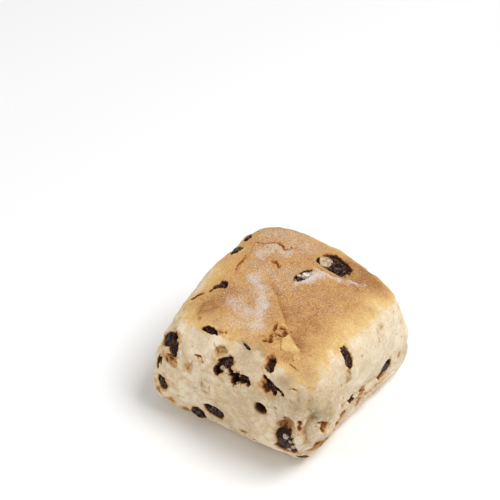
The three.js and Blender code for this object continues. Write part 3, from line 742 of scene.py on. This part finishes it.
GREY_AND_SHADE_MARKS = [
    # on the top
    ((-15.5, -23.3, 43.6), 1.6, 0.7), ((-19.2, -21.9, 43.6), 1.3, 0.5), ((-0.7, 4.5, 47.2), 1.4, 0.6),
    ((16.6, 13, 45.6), 1.2, 0.6), ((17, 9.7, 45.7), 0.9, 0.5), ((25.7, 14.6, 43), 0.9, 0.9),
    ((26.7, 14.2, 42.3), 1.2, 0.5), ((3, -28, 43.6), 2, 0.5), ((18, -32.6, 43.4), 3.4, 0.8),
    ((22, -33.2, 43), 3, 0.5), ((9, -32, 42.6), 3, 0.7), ((28.6, -33.6, 41), 2.4, 0.3),
    ((20.5, -32.6, 43), 3, 0.5), ((-13.8, -0.9, 47.2), 1.3, 0.5), ((0, -27, 43.6), 1.8, 0.7),
    ((-2.7, -25.6, 43.9), 1.2, 0.5), ((5, -30.6, 42.6), 4, 0.2), ((0.5, -29.6, 42.6), 6, 0.6),
    ((25.4, -25.4, 45.4), 4, 0.3), ((-4, 10, 47.6), 1.6, 0.8), ((-2.8, 14, 47.8), 1.4, 0.8),
    ((-3.6, 8.4, 47.6), 2, 0.9), ((2.2, 13.4, 47.4), 1.6, 0.6), ((1.4, 15.6, 47.2), 1.6, 0.6),
    ((5, -31, 42.6), 4, 0.2), ((26.8, -32.8, 42.6), 0.9, 0.7), ((4.7, -25.8, 44.7), 1.2, 1),
    ((7.6, -27.1, 44.7), 1.4, 1),
    # on the front, with painted shade low down and in dents
    ((-7.6, -30.4, 40.8), 2, 0.8), ((18.3, -36.7, 37.5), 2.6, 0.6), ((8.5, -37, 26.5), 6, 0.4),
    ((9, -36.4, 17), 5, 0.3), ((-19.5, -30, 40), 5, 0.3), ((2.4, -36.6, 26.3), 4, 0.3),
    ((12.1, -37.4, 33.5), 3.5, 0.4), ((21, -36.8, 34), 3, 0.4), ((0, -36.5, 14), 10, 0.4),
    ((-18.5, -30.8, 39.5), 4.5, 0.2),
    # at the near corner, mostly painted shade, with some taken off its ridge
    ((32.4, -32.7, 32.9), 2.2, 0.5), ((33.7, -29.7, 35.1), 1, 0.7), ((34, -28.8, 33.6), 2, 0.8),
    ((27, -34.6, 36), 2.4, 0.4), ((29.6, -31, 39), 8, 0.78), ((24.2, -36.6, 27.6), 2.8, 1.3),
    ((33, -27, 30), 3, 0.5), ((29.4, -34.6, 35), 2.2, -0.7), ((29, -35, 29), 2, -0.5),
    ((28.8, -34.6, 22), 2, -0.4), ((27.8, -34.2, 40.8), 0.9, 0.7), ((28, -35.3, 37.5), 0.9, 0.6),
    ((31.8, -33.3, 31), 1, 1), ((32.5, -32.4, 32.9), 1, 1), ((33.1, -31.4, 34.6), 0.8, 0.7),
    ((30.9, -34, 29.2), 0.9, 0.9), ((34.2, -27.8, 30.6), 1.2, 0.6),
    # on the right side
    ((31.6, 12.9, 38.7), 1.3, 1), ((34.4, -13.2, 35.3), 1.6, 0.4), ((33.5, -22, 33), 5, 0.3),
    ((34.2, -10, 36.4), 1.6, 0.5), ((34, -18, 30), 9, 0.25),
]

# The middle of the right side is the smoothest: where that is, and how far it goes each way.
CALM_MIDDLE, CALM_REACH = (36, 8, 30), (14, 20, 17)
# The crust goes on browning this far in from its rim. In front, from the first of these places to the
# second, it also tints the skin this far below it.
BROWNING_WIDTH, TINT_WIDTH, TINT_FROM, TINT_TO = 14, 9, -15, -28
# How far strokes and round marks are moved by the wandering.
STROKE_WANDER, MARK_WANDER = 1.2, 0.5
# The tray browned the foot, up to this height, by this much.
FOOT_TOP, FOOT_BROWNING = 3, 0.9

heart_way = skin - HEART
azimuth = np.degrees(np.arctan2(heart_way[:, 1], heart_way[:, 0]))
elevation = np.degrees(np.arctan2(heart_way[:, 2], np.hypot(heart_way[:, 0], heart_way[:, 1])))
rim_elevation, softness = (np.interp(azimuth, RIM[:, 0], RIM[:, k]) for k in (1, 2))
calm = np.exp(-(((skin - CALM_MIDDLE) / CALM_REACH) ** 2).sum(1))
wavering = 2.2 * noise(skin, size=9, seed=41) + 1.4 * layered_noise(skin, size=3.5, seed=42, layers=3)
wavering = wavering * (1 - 0.5 * calm)
inside_rim = np.radians(elevation - rim_elevation) * np.linalg.norm(heart_way, axis=1) + wavering
on_top = smoothstep(-softness, softness, inside_rim)
bake = 0.5 * on_top + 0.5 * smoothstep(0, BROWNING_WIDTH, inside_rim)
tint = smoothstep(-TINT_WIDTH, 0, inside_rim) * smoothstep(TINT_FROM, TINT_TO, skin[:, 1])
bake = bake + 0.14 * tint
# Where the crust ends sharply it stands a little above the side.
flaked = 0.2 * smoothstep(-0.6, 0.6, inside_rim) * smoothstep(3.4, 1.4, softness)
raised += flaked * smoothstep(8, 1, abs(inside_rim))

flour = np.zeros(len(skin))
for corners, width, thickness in FLOURED:
    away = from_line(skin + STROKE_WANDER * shift, outward, laid(corners))[0]
    flour = np.maximum(flour, thickness * np.exp(-((away / width) ** 2)))


def marked(marks):
    """The sum of some round marks at each point: strength * exp(-(distance / width)^2)."""
    moved = skin + MARK_WANDER * shift
    return sum(s * np.exp(-((moved - at) ** 2).sum(1) / w**2) for at, w, s in marks)


# Date juice and grey marks; some of each are painted shade in dents, hollows and on the near corner.
stain, veil = marked(JUICE_AND_SHADE), marked(GREY_AND_SHADE_MARKS)
bake = bake + on_top * marked(BROWNED) - 0.3 * on_top * paler
foot = smoothstep(FOOT_TOP, 0.8, skin[:, 2] + 1.5 * noise(skin, size=6, seed=43))
bake = np.maximum(bake, FOOT_BROWNING * foot)

# ---- The finished skin --------------------------------------------------------------------------
# The dough as it left the oven: risen, folded, torn, and open over its dates. It is one closed skin of
# baked dough, and the dates lie in its openings.

# Swellings and dents in the sides: middle, how wide and how high.
RELIEF = [
    # on the top
    ((3.8, -32.4, 42), 4.6, 0.9), ((4.7, -25.8, 44.7), 1.3, -0.7), ((7.6, -27.1, 44.7), 1.4, -0.7),
    ((20.5, -33, 42.6), 3, -0.5), ((16, -30.6, 44.4), 3, 0.5), ((25.7, 14.6, 43), 1.2, -0.3),
    # on the front
    ((-11.5, -30.6, 40), 2.4, 0.6), ((-18.6, -36.3, 29.2), 2.2, -0.5), ((2.4, -36.6, 26.3), 5, -0.6),
    ((10.5, -36.4, 17.6), 6, 0.5), ((-24, -35.6, 22), 6, 0.5), ((-14, -36.4, 15), 5, -0.3),
    # at the near corner
    ((24.2, -36.8, 26.6), 3.1, -1.2), ((31.7, -32.8, 22), 3.4, 1.1), ((33.8, -25, 19.6), 3.2, 1.2),
    ((32.6, -30.8, 31.4), 2.6, -0.9), ((29.6, -34.4, 22), 2.2, 0.9), ((33, -30.4, 35.6), 2.6, 0.8),
    ((32.4, -32.7, 32.9), 2.2, -0.8), ((33.7, -28.9, 25.4), 2.6, -0.6), ((33.8, -25, 31), 4, 0.5),
    # on the right side
    ((34.4, -24, 28), 4, 0.9), ((34.4, -13.2, 34), 2.2, -0.4), ((31.6, 12.9, 38.7), 1.4, -0.3),
    ((34.2, 11.2, 32.7), 8, 0.5),
]

# Places where the skin is stretched into fine tatters.
TATTERED = [((0, -34, 37), 8, 1), ((33, -8, 14), 9, 0.6), ((33, 8, 12), 8, 0.6)]
# The near edge was stretched most as it rose, which left it streaked up and down: its middle, how far
# from it, and how much less that counts upwards.
STRETCHED_MIDDLE, STRETCHED_REACH, STRETCHED_UP = (31, -31, 32), 13, 0.7

# The sides are less even than the top: swells, smaller bulges, fine bumps, and creases where a noise
# passes through 0, with painted shade in their dents.
upright = 1 - smoothstep(0.45, 0.9, outward[:, 2])
crinkled = np.hypot(layered_noise(skin * (1, 1, 1.3), size=7.5, seed=71, layers=2), 0.08)
crinkled = np.minimum(crinkled, 0.5) * smoothstep(-0.6, 0.3, noise(skin, size=14, seed=72))
swells = (0.5 + 0.2 * upright) * noise(skin, size=12, seed=3)
bulges = 0.45 * upright * noise(skin, size=6.5, seed=9) * (1 - 0.5 * calm)
bumps = (0.12 + 0.1 * upright) * layered_noise(skin, size=3.4, seed=8, layers=3)
creases = (0.2 + 1.2 * upright) * crinkled * (1 - 0.7 * calm)
off_middle = (skin - STRETCHED_MIDDLE) * (1, 1, STRETCHED_UP)
streaked = upright * np.exp(-(off_middle**2).sum(1) / STRETCHED_REACH**2)
streaks = layered_noise(skin * (1, 1, 0.3), size=2.6, seed=74, layers=2)
tattered = streaked + 0.8 * marked(TATTERED)
rough = swells + bulges + bumps + creases + marked(RELIEF) + 0.9 * streaked * streaks
# Painted shade: darker in the creases, in the valleys of the streaks, and in the grooves.
dented = upright * smoothstep(0.2, 0.06, crinkled) * (1 - 0.8 * calm)
dented = np.maximum(dented, 1.2 * streaked * smoothstep(0.15, -0.45, streaks)) + groove_shade
# What lies on the tray stays flat.
off_tray = smoothstep(0.2, 4, skin[:, 2])
skin_out = skin + outward * ((rough + raised) * off_tray)[:, None]

# How dark an opening is painted inside: brown as date juice, and darker as painted shade of its depth.
# A date's mouth is 1 and a tear 0, apart from these.
PIT_SHADE_AND_STAIN = {
    "date_front_brow": 0.6, "date_front_large": 0.8, "date_front_ragged": 0.9, "date_brow_slit": 0.45,
    "front dot": 0.3, "brow left": 0.18, "middle left": 0.4,
}
# Going in, the wall of an opening begins at this reach, and ends at these under a date's mouth and in
# a tear. Its lip and its stained edge are bands at a reach and of a width.
WALL_TOP, DATE_WALL_FOOT, TEAR_WALL_FOOT = 1.03, 0.76, 0.45
LIP, STAINED_EDGE, HOLLOW_EDGE = (1.3, 0.25), (1.02, 0.14), (0.85, 0.18)


def band(reach, place):
    """1 at a reach and less to both sides of it: exp(-((reach - middle) / width)^2)."""
    middle, width = place
    return np.exp(-(((reach - middle) / width) ** 2))


hollow = np.zeros(len(skin))
lip_height = 0.25 + 0.25 * noise(skin, size=3, seed=51)
one_sided = smoothstep(-0.5, 0.5, noise(skin, size=5, seed=52))
for name, (depth, _, staining, ovals) in OPENINGS.items():
    reach = from_mouth(skin, name)
    pit = 1 - smoothstep(DATE_WALL_FOOT if name in DATE_NODES else TEAR_WALL_FOOT, WALL_TOP, reach)
    lifted = lip_height * band(reach, LIP) * off_tray - depth * pit
    skin_out += lifted[:, None] * ovals[0][1][2]
    if name in DATE_NODES:
        # Painted shade with date brown: the inside of a date's mouth is darkened.
        hollow = np.maximum(hollow, pit * PIT_SHADE_AND_STAIN.get(name, 1))
        edge = band(reach, STAINED_EDGE)
        stain = np.maximum(stain, (0.4 + 0.6 * staining) * edge * (0.35 + 0.75 * one_sided))
    elif name in HOLLOWS:
        # Painted shade: a hollow is darker inside and along its upper edge.
        veil = veil + 0.35 * pit
        above = smoothstep(-2, 1.5, skin[:, 2] - ovals[0][0][2])
        stain = np.maximum(stain, 1.1 * above * band(reach, HOLLOW_EDGE))
    else:
        torn = np.maximum(torn, (0.5 + 0.4 * min(depth, 1)) * pit)
        # Painted shade: the inside of a darker tear is darkened.
        hollow = np.maximum(hollow, pit * PIT_SHADE_AND_STAIN.get(name, 0))
    stain = np.maximum(stain, staining * one_sided * (1 - smoothstep(0.9, 2.1, reach)))
skin_out[:, 2] = np.maximum(skin_out[:, 2], 0)


def make_piece(name, points, faces):
    """A smooth mesh object with its place in its mesh, which rides on the part's one body."""
    mesh = bpy.data.meshes.new(name)
    mesh.from_pydata((points + PLACE) / 1000, [], faces.tolist())
    mesh.shade_smooth()
    piece = bpy.data.objects.new(name, mesh)
    bpy.context.scene.collection.objects.link(piece)
    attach(piece, "root")
    return piece


def paint(piece, name, values):
    """Stores one number a point on a mesh, for its material to read."""
    layer = piece.data.attributes.new(name, "FLOAT", "POINT")
    layer.data.foreach_set("value", np.asarray(values, np.float32))


dough = make_piece("dough", skin_out, net)
LAYERS = {
    "bake": bake, "flour": flour, "torn": torn, "hollow": hollow, "stain": stain, "veil": veil,
    "dented": dented, "tattered": tattered, "calm": calm,
}
for layer_name, values in LAYERS.items():
    paint(dough, layer_name, values)
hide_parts("scone_dough")


class Wire:
    """A socket in a finish. Sums on it add Math nodes, so that a mask is written as an expression."""

    def __init__(self, finish, socket):
        self.finish, self.socket = finish, socket

    def math(self, operation, *terms):
        return self.finish.node("ShaderNodeMath", {"operation": operation}, dict(enumerate(terms)))

    def __add__(self, other):
        return self.math("ADD", self, other)

    def __sub__(self, other):
        return self.math("SUBTRACT", self, other)

    def __rsub__(self, other):
        return self.math("SUBTRACT", other, self)

    def __mul__(self, other):
        return self.math("MULTIPLY", self, other)

    __radd__, __rmul__ = __add__, __mul__

    def between(self, low, high):
        """0 at low and 1 at high, with a smooth rise: a mask with a soft edge."""
        return self.finish.node(
            "ShaderNodeMapRange",
            {"interpolation_type": "SMOOTHSTEP"},
            {"Value": self, "From Min": low, "From Max": high},
        )


class Finish:
    """A material being built on its Principled shader. One method adds any node."""

    def __init__(self, name):
        self.material = bpy.data.materials.new(name)
        self.material.use_nodes = True
        self.tree = self.material.node_tree
        self.shader = self.tree.nodes["Principled BSDF"]
        self.place = self.node("ShaderNodeTexCoord", {}, {}, "Object")

    def node(self, kind, settings, inputs, output=0):
        """Adds a node of a kind, makes its settings, then fills its sockets with values or links."""
        node = self.tree.nodes.new(kind)
        for key, value in settings.items():
            if key == "stops":
                elements = node.color_ramp.elements
                for position, _ in value[2:]:
                    elements.new(position)
                for element, (position, colour) in zip(elements, value):
                    element.position, element.color = position, colour
            else:
                setattr(node, key, value)
        self.fill(node, inputs)
        return Wire(self, node.outputs[output])

    def fill(self, node, inputs):
        """Sets each named socket of a node to a value, or links a wire to it."""
        for key, value in inputs.items():
            if isinstance(value, Wire):
                self.tree.links.new(value.socket, node.inputs[key])
            else:
                node.inputs[key].default_value = value

    def stored(self, name):
        """A number painted on the mesh."""
        return self.node("ShaderNodeAttribute", {"attribute_name": name}, {}, "Fac")

    def grain(self, size, detail=2, roughness=0.5, distortion=0):
        """Noise from 0 to 1 with lumps of about that size in millimetres."""
        inputs = {"Vector": self.place, "Scale": 1000 / size, "Detail": detail}
        inputs |= {"Roughness": roughness, "Distortion": distortion}
        return self.node("ShaderNodeTexNoise", {}, inputs)

    def mix(self, base, over, share):
        """One colour laid over another by a share. A Mix node's colours are its sockets 6 and 7, and its
        colour result is output 2."""
        return self.node("ShaderNodeMix", {"data_type": "RGBA"}, {0: share, 6: base, 7: over}, 2)

    def coats(self, base, layers):
        """A colour with others laid over it in turn, each given with its share."""
        for colour, share in layers:
            base = self.mix(base, tone(*colour), share)
        return base

    def bump(self, height, depth):
        """A normal for the shader from a height of 0 to 1 that stands for that depth in millimetres."""
        return self.node("ShaderNodeBump", {}, {"Height": height, "Distance": depth / 1000})


def tone(red, green, blue):
    """A colour as painters' 0 to 255 values, turned to the linear values that shaders use."""
    share = np.array([red, green, blue]) / 255
    linear = np.where(share <= 0.04045, share / 12.92, ((share + 0.055) / 1.055) ** 2.4)
    return (*linear.tolist(), 1)


baked = Finish("baked dough")
dust, fine, specks = baked.grain(0.42, 2, 0.65), baked.grain(1.1, 3), baked.grain(1.5, 0)
middling, patchy, broad = baked.grain(3.2, 3), baked.grain(6, 3, 0.55, 0.6), baked.grain(12, 2)
lilac = baked.grain(8, 3, 0.5, 0.4)
scraps = baked.grain(0.8, 2, 0.7) * 0.6 + baked.grain(2, 2, 0.6, 0.8) * 0.4
tattered, greyed_and_shaded, floured = (baked.stored(name) for name in ("tattered", "veil", "flour"))
busy = 1 - baked.stored("calm") * 0.65

# The pale sides: creamy dough with broad and fine patches, dark specks, tatters, painted shade in creases
# and grooves, and grey where a date shows through or painted shade lies.
pale = baked.coats(tone(237, 221, 194), [
    ((224, 205, 174), broad.between(0.4, 0.65)),
    ((213, 187, 147), patchy.between(0.42, 0.74) * 0.8 * busy),
    ((206, 186, 160), lilac.between(0.48, 0.68) * 0.5 * busy),
    ((242, 230, 206), middling.between(0.5, 0.7) * 0.4),
    ((198, 172, 130), fine.between(0.52, 0.74) * 0.4),
    ((242, 232, 212), fine.between(0.48, 0.3) * 0.35),
    ((200, 176, 142), dust.between(0.5, 0.7) * 0.6),
    ((150, 108, 64), specks.between(0.76, 0.82) * 0.6),
    ((176, 142, 96), scraps.between(0.5, 0.61) * tattered * 0.8),
    ((246, 236, 214), scraps.between(0.48, 0.39) * tattered * 0.7),
    # Painted shade in creases and grooves.
    ((192, 160, 112), baked.stored("dented") * (0.05 + fine * 0.8)),
    # Grey where a date shows through, and painted shade in dents, hollows and on the near corner.
    ((170, 147, 114), greyed_and_shaded * (0.4 + fine * 0.5)),
])
# The crust: from straw through gold to brown as it is baked more, with light and dark specks.
uneven = (middling - 0.5) * 0.6 + (fine - 0.5) * 0.45 + (patchy - 0.5) * 0.5
browning = baked.stored("bake") + uneven * busy
gold = baked.node(
    "ShaderNodeValToRGB",
    {
        "stops": [
            (0.0, tone(231, 206, 155)), (0.25, tone(223, 187, 122)), (0.55, tone(209, 163, 102)),
            (0.8, tone(194, 144, 88)), (1.0, tone(170, 116, 62)),
        ]
    },
    {0: browning * 0.8},
)
crust = baked.coats(gold, [
    ((240, 210, 162), dust.between(0.52, 0.7) * (0.5 + floured * 0.45)),
    ((150, 98, 50), dust.between(0.48, 0.32) * (browning * 0.6 + 0.18)),
    # Grey marks on the crust, partly painted shade in its dents.
    ((176, 150, 116), greyed_and_shaded * (0.4 + fine * 0.5)),
])
# The crust over the sides, then flour, the juice of the dates (with painted shade in dents and hollows),
# the torn places, and the mouths, brown inside and near black deeper in as painted shade.
skin_colour = baked.mix(pale, crust, (browning + (dust - 0.5) * 0.2).between(0.04, 0.34))
dusting = (floured + (dust - 0.5) * 1.7 + (middling - 0.5) * 1.2).between(0.1, 1.6)
juice_and_shade = baked.stored("stain") * (0.2 + fine * 1.1 + dust * 0.5) + (fine - 0.5) * 0.4
opened = baked.stored("torn") * (0.2 + fine * 1.0 + dust * 0.7)
pit_stain_and_shade = baked.stored("hollow")
skin_colour = baked.coats(skin_colour, [
    ((219, 213, 208), dusting * 0.85),
    # Date juice, and painted shade where such marks lie in dents and hollows.
    ((194, 152, 94), juice_and_shade.between(0.15, 0.7) * 0.85),
    ((146, 94, 44), juice_and_shade.between(0.6, 1.1) * 0.9),
    ((202, 156, 96), opened.between(0.12, 0.4)),
    ((166, 98, 42), opened.between(0.36, 0.58)),
    ((104, 56, 20), opened.between(0.7, 1.0)),
    # The mouths: a brown wall, then near black deeper in, which is painted shade.
    ((158, 106, 52), pit_stain_and_shade.between(0.01, 0.15) * 0.8),
    ((84, 44, 18), pit_stain_and_shade.between(0.12, 0.35)),
    ((34, 13, 6), pit_stain_and_shade.between(0.45, 0.9)),
])
pores = (dust * 0.3 + fine * 0.4) * (0.5 + baked.stored("bake") * 0.6) + middling * 0.25
baked.fill(
    baked.shader,
    {
        "Base Color": skin_colour,
        "Roughness": 0.8,
        "Specular IOR Level": 0.25,
        "Subsurface Weight": 0.1,
        "Subsurface Radius": (1.0, 0.65, 0.4),
        "Subsurface Scale": 0.0015,
        "Normal": baked.bump(pores, 1.0),
    },
)
dough.data.materials.append(baked.material)

# ---- Chopped dates ------------------------------------------------------------------------------
# Dried dates cut in small pieces: dark, sticky and wrinkled along their length, with flat cut faces.
# Each sits in its mouth in the dough.

chopped = Finish("chopped date")
flesh, shine, painted_glint = chopped.grain(0.6, 2, 0.6), chopped.grain(2.4, 2), chopped.grain(0.7, 2, 0.6)
dusty = (chopped.stored("floured") + (flesh - 0.5) * 1.2).between(0.3, 1)
# Near black, with brown flesh, painted grey glints for highlights, blacker folds as painted shade,
# and flour.
skinned = chopped.coats(tone(38, 17, 10), [
    ((110, 56, 26), flesh.between(0.51, 0.66)),
    # Painted highlights.
    ((140, 120, 114), (painted_glint * 0.7 + shine * 0.3).between(0.52, 0.64) * 0.8),
    # Painted shade in the folds.
    ((20, 7, 3), shine.between(0.48, 0.37) * 0.85),
    ((150, 138, 130), dusty * 0.8),
])
chopped.fill(
    chopped.shader,
    {
        "Base Color": skinned,
        "Roughness": 0.24 + shine.between(0.4, 0.65) * 0.2,
        "Specular IOR Level": 0.22,
        "Normal": chopped.bump(flesh * 0.5 + shine * 0.5, 2.2),
    },
)

# Dates that lie at a depth of their own under the skin, and how floury a date is.
DEEPER = {
    "date_top_floured": 0.15, "date_brow_slit": 0.2, "date_front_brow": 1.2, "date_front_round": 1.6,
}
FLOURY = {"date_top_floured": 0.4, "date_brow_slit": 0.4}
# How far a date lies to one side of the plain block that stands for it, and how much fuller it is.
MOVED = {
    "date_front_brow": (-1.6, -2.6, -0.8), "date_front_corner": (-1.2, 0, -0.6),
    "date_front_large": (-0.4, 0, -1.4), "date_rim_left": (-1, 0.6, -1),
    "date_rim_back": (-0.9, 0.3, -0.8),
}
FULLER = {
    "date_front_large": 1.14, "date_front_foot": 1.3, "date_front_ragged": 1.1,
    "date_right_back": 1.3, "date_front_left": 1.15,
}
# Any other date lies this share of its mouth's depth under the skin. A date over this half length has
# the finer net.
DEPTH_SHARE, LONG_DATE = 0.35, 4.5
FINE_CELLS, PLAIN_CELLS, DATE_RINGS = 44, 30, 8
# The knife: how many cuts, how far from the middle, and how much of what is beyond a cut is gone.
DATE_CUTS, DATE_CUT_FROM, DATE_CUT_TO, DATE_CUT_SHARE = 7, 0.7, 0.95, 0.85
# A dried date is this boxy, and its wrinkles are this deep and run along it.
BOXY, WRINKLE_DEPTH, ALONG_GRAIN = 0.24, 0.4, (0.45, 1, 1)
DATE_SEED, CHIP_SEED = 100, 200


def chop(lump, seed, cuts, nearest, furthest, share):
    """A lump of about 1 with flat cut faces: each cut has a random way and place, and what lies beyond
    it is drawn back to it by the share."""
    draw = np.random.default_rng(seed)
    ways = unit(draw.normal(size=(cuts, 3)))
    for way, place in zip(ways, draw.uniform(nearest, furthest, cuts)):
        lump = lump - share * np.maximum(lump @ way - place, 0)[:, None] * way
    return lump


lumps = {}
for seed, name in enumerate(DATE_NODES):
    middle, axes, half = SEATS[name]
    cells = FINE_CELLS if half[0] > LONG_DATE else PLAIN_CELLS
    lump, date_net = rounded_block(cells, cells, DATE_RINGS)
    way = unit(lump)
    lump = way * (1 - BOXY + BOXY / (way**4).sum(-1, keepdims=True) ** 0.25)
    lump = chop(lump, DATE_SEED + seed, DATE_CUTS, DATE_CUT_FROM, DATE_CUT_TO, DATE_CUT_SHARE)
    lump = lump * half * FULLER.get(name, 1)
    stretched = lump * ALONG_GRAIN
    wrinkled = 0.7 - 1.8 * abs(noise(stretched, 1.6, seed)) - abs(noise(stretched, 0.8, seed + 50))
    lump = lump + WRINKLE_DEPTH * wrinkled[:, None] * way
    sunk = DEEPER.get(name, DEPTH_SHARE * OPENINGS[name][0])
    lump = lump @ axes + middle + MOVED.get(name, (0, 0, 0)) - sunk * axes[2]
    lumps[name] = lump, facing(lump, date_net)
    piece = make_piece(f"{name}_chopped", lump, date_net)
    paint(piece, "floured", np.full(len(lump), FLOURY.get(name, 0)))
    piece.data.materials.append(chopped.material)
    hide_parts(name)

# ---- Crumbs -------------------------------------------------------------------------------------
# Flakes of dough that stuck to the sticky dates as the two were stirred together, and baked on them.
# Each is a small blunt chip; all of them are one piece.

# Each crumb: the date it sticks to, where, its length, width and thickness, its turn in degrees, and
# how floury it is.
CRUMBS = [
    ("date_top_back", (1.1, 23, 47), (4.8, 5.8, 1.2), 60, 0),
    ("date_top_back", (-0.6, 22.6, 47.4), (1.3, 1, 0.6), 10, 0),
    ("date_front_upper", (-5.6, -35.2, 35.4), (2.6, 2, 1.6), 0, 0),
    ("date_top_floured", (-0.2, 12, 47.6), (4.2, 3, 1.4), 70, 1),
    ("date_top_floured", (1.2, 14.6, 47.4), (3, 2.4, 1), 30, 0.7),
    ("date_top_floured", (-2.2, 10.6, 47.6), (2.2, 1.4, 0.8), 40, 0.5),
    ("date_front_large", (23.8, -36.4, 20), (2.4, 2.2, 1.8), 0, 0.4),
    ("date_front_large", (26.6, -36, 21.4), (2.2, 2.2, 1.6), 30, 0.2),
    ("date_front_large", (27.4, -35.6, 18.8), (2.6, 2.4, 1.8), 75, 0.3),
    ("date_front_large", (25.6, -35.8, 17.6), (1.5, 1.2, 1), 10, 0.2),
    ("date_front_large", (26.2, -35.2, 14.4), (2.6, 1.8, 1.4), 50, 0.4),
    ("date_front_large", (24.5, -35, 12.4), (1.6, 1.3, 1), 0, 0.2),
    ("date_front_large", (27.6, -34.8, 15.8), (1.3, 1.3, 0.9), 0, 0.2),
]

# A chip's net, and how it was broken, in the same terms as a date's cuts.
CHIP_CELLS, CHIP_RINGS = (12, 10), 5
CHIP_CUTS, CHIP_CUT_FROM, CHIP_CUT_TO, CHIP_CUT_SHARE = 6, 0.6, 0.9, 0.9
# A chip is this uneven, and sticks where the date's skin faces out at least this much.
CHIP_UNEVENNESS, SHOWING = 0.25, 0.3

chip, chip_net = rounded_block(*CHIP_CELLS, CHIP_RINGS)
chip_way = unit(chip)
stuck, chip_faces, whitened = [], [], []
for seed, (name, place, size, turn, floury) in enumerate(CRUMBS):
    points, normals = lumps[name]
    date_out = SEATS[name][1][2]
    showing = np.flatnonzero(normals @ date_out > SHOWING)
    seat = showing[((points[showing] - place) ** 2).sum(1).argmin()]
    turned = (np.cos(np.radians(turn)), 0.3, np.sin(np.radians(turn)))
    axes = axes_on(unit(normals[seat] + 2 * date_out), turned)
    blunt = chip_way * (1 + CHIP_UNEVENNESS * noise(chip_way, 0.9, 80 + seed))[:, None]
    blunt = chop(blunt, CHIP_SEED + seed, CHIP_CUTS, CHIP_CUT_FROM, CHIP_CUT_TO, CHIP_CUT_SHARE)
    stuck.append(blunt * np.array(size) / 2 @ axes + points[seat])
    chip_faces.append(chip_net + seed * len(chip))
    whitened += [floury] * len(chip)
crumbs = make_piece("crumbs", np.vstack(stuck), np.vstack(chip_faces))
paint(crumbs, "floured", whitened)

crumb = Finish("dough crumb")
grit, blotch, floured = crumb.grain(0.7, 2), crumb.grain(1.8, 2), crumb.stored("floured")
crumb_colour = crumb.coats(tone(204, 184, 152), [
    ((170, 142, 106), blotch.between(0.42, 0.62)),
    ((230, 219, 205), floured * 0.9),
    ((150, 136, 126), blotch.between(0.5, 0.62) * floured),
    ((176, 136, 88), grit.between(0.6, 0.75) * 0.7),
])
crumb.fill(
    crumb.shader,
    {
        "Base Color": crumb_colour,
        "Roughness": 0.85,
        "Specular IOR Level": 0.25,
        "Normal": crumb.bump(grit, 0.4),
    },
)
crumbs.data.materials.append(crumb.material)

# ---- Studio -------------------------------------------------------------------------------------
# Not part of the scone: a plain pale floor, a soft light high on the right, a weaker one low on the
# left, a white sky, and the camera.

FLOOR_REACH = 4  # metres
floor_corners = [(-1, -1, 0), (1, -1, 0), (1, 1, 0), (-1, 1, 0)]
floor_mesh = bpy.data.meshes.new("floor")
floor_mesh.from_pydata((np.array(floor_corners) * FLOOR_REACH).tolist(), [], [(0, 1, 2, 3)])
floor = bpy.data.objects.new("floor", floor_mesh)
bpy.context.scene.collection.objects.link(floor)
paper = Finish("pale floor")
paper.fill(paper.shader, {"Base Color": tone(247, 247, 247), "Roughness": 0.9})
floor_mesh.materials.append(paper.material)

scene = bpy.context.scene
scene.view_settings.view_transform = "Standard"
world = bpy.data.worlds.new("studio")
world.use_nodes = True
sky = world.node_tree.nodes["Background"].inputs
sky["Color"].default_value, sky["Strength"].default_value = (1, 1, 1, 1), 0.42
scene.world = world


def towards(azimuth, elevation):
    """The way to a place that many degrees round from -Y towards +X, and above the floor."""
    turn, lift = np.radians(azimuth), np.radians(elevation)
    return np.array([np.sin(turn) * np.cos(lift), -np.cos(turn) * np.cos(lift), np.sin(lift)])


def set_up(name, data, place, azimuth, elevation):
    """A camera or a light at a place, facing back along the way of that azimuth and elevation."""
    thing = bpy.data.objects.new(name, data)
    thing.location = place
    thing.rotation_euler = (np.radians(90 - elevation), 0, np.radians(azimuth))
    scene.collection.objects.link(thing)
    return thing


# The camera's angles, its distance in millimetres, and the middle of its frame on the floor.
AZIMUTH, ELEVATION, DISTANCE = 35, 43, 650
LOOKED_AT = (-54.3, 53.3, 0)
camera_data = bpy.data.cameras.new("camera")
camera_data.sensor_width, camera_data.lens = 36, 112
camera_place = (LOOKED_AT + PLACE + DISTANCE * towards(AZIMUTH, ELEVATION)) / 1000
scene.camera = set_up("camera", camera_data, camera_place, AZIMUTH, ELEVATION)

# Each light: how it lies round the scone (from -Y towards +X) and above it in degrees, its distance and
# width in metres, its power, and its colour.
LIGHTS = {
    "key": (112, 63, 1.06, 0.5, 8.75, (0.99, 0.99, 1)),
    "window": (-40, 22, 1.0, 0.4, 2.65, (1, 0.98, 0.95)),
}
for name, (azimuth, elevation, distance, width, power, colour) in LIGHTS.items():
    light = bpy.data.lights.new(name, "AREA")
    light.energy, light.size, light.color = power, width, colour
    set_up(name, light, distance * towards(azimuth, elevation), azimuth, elevation)
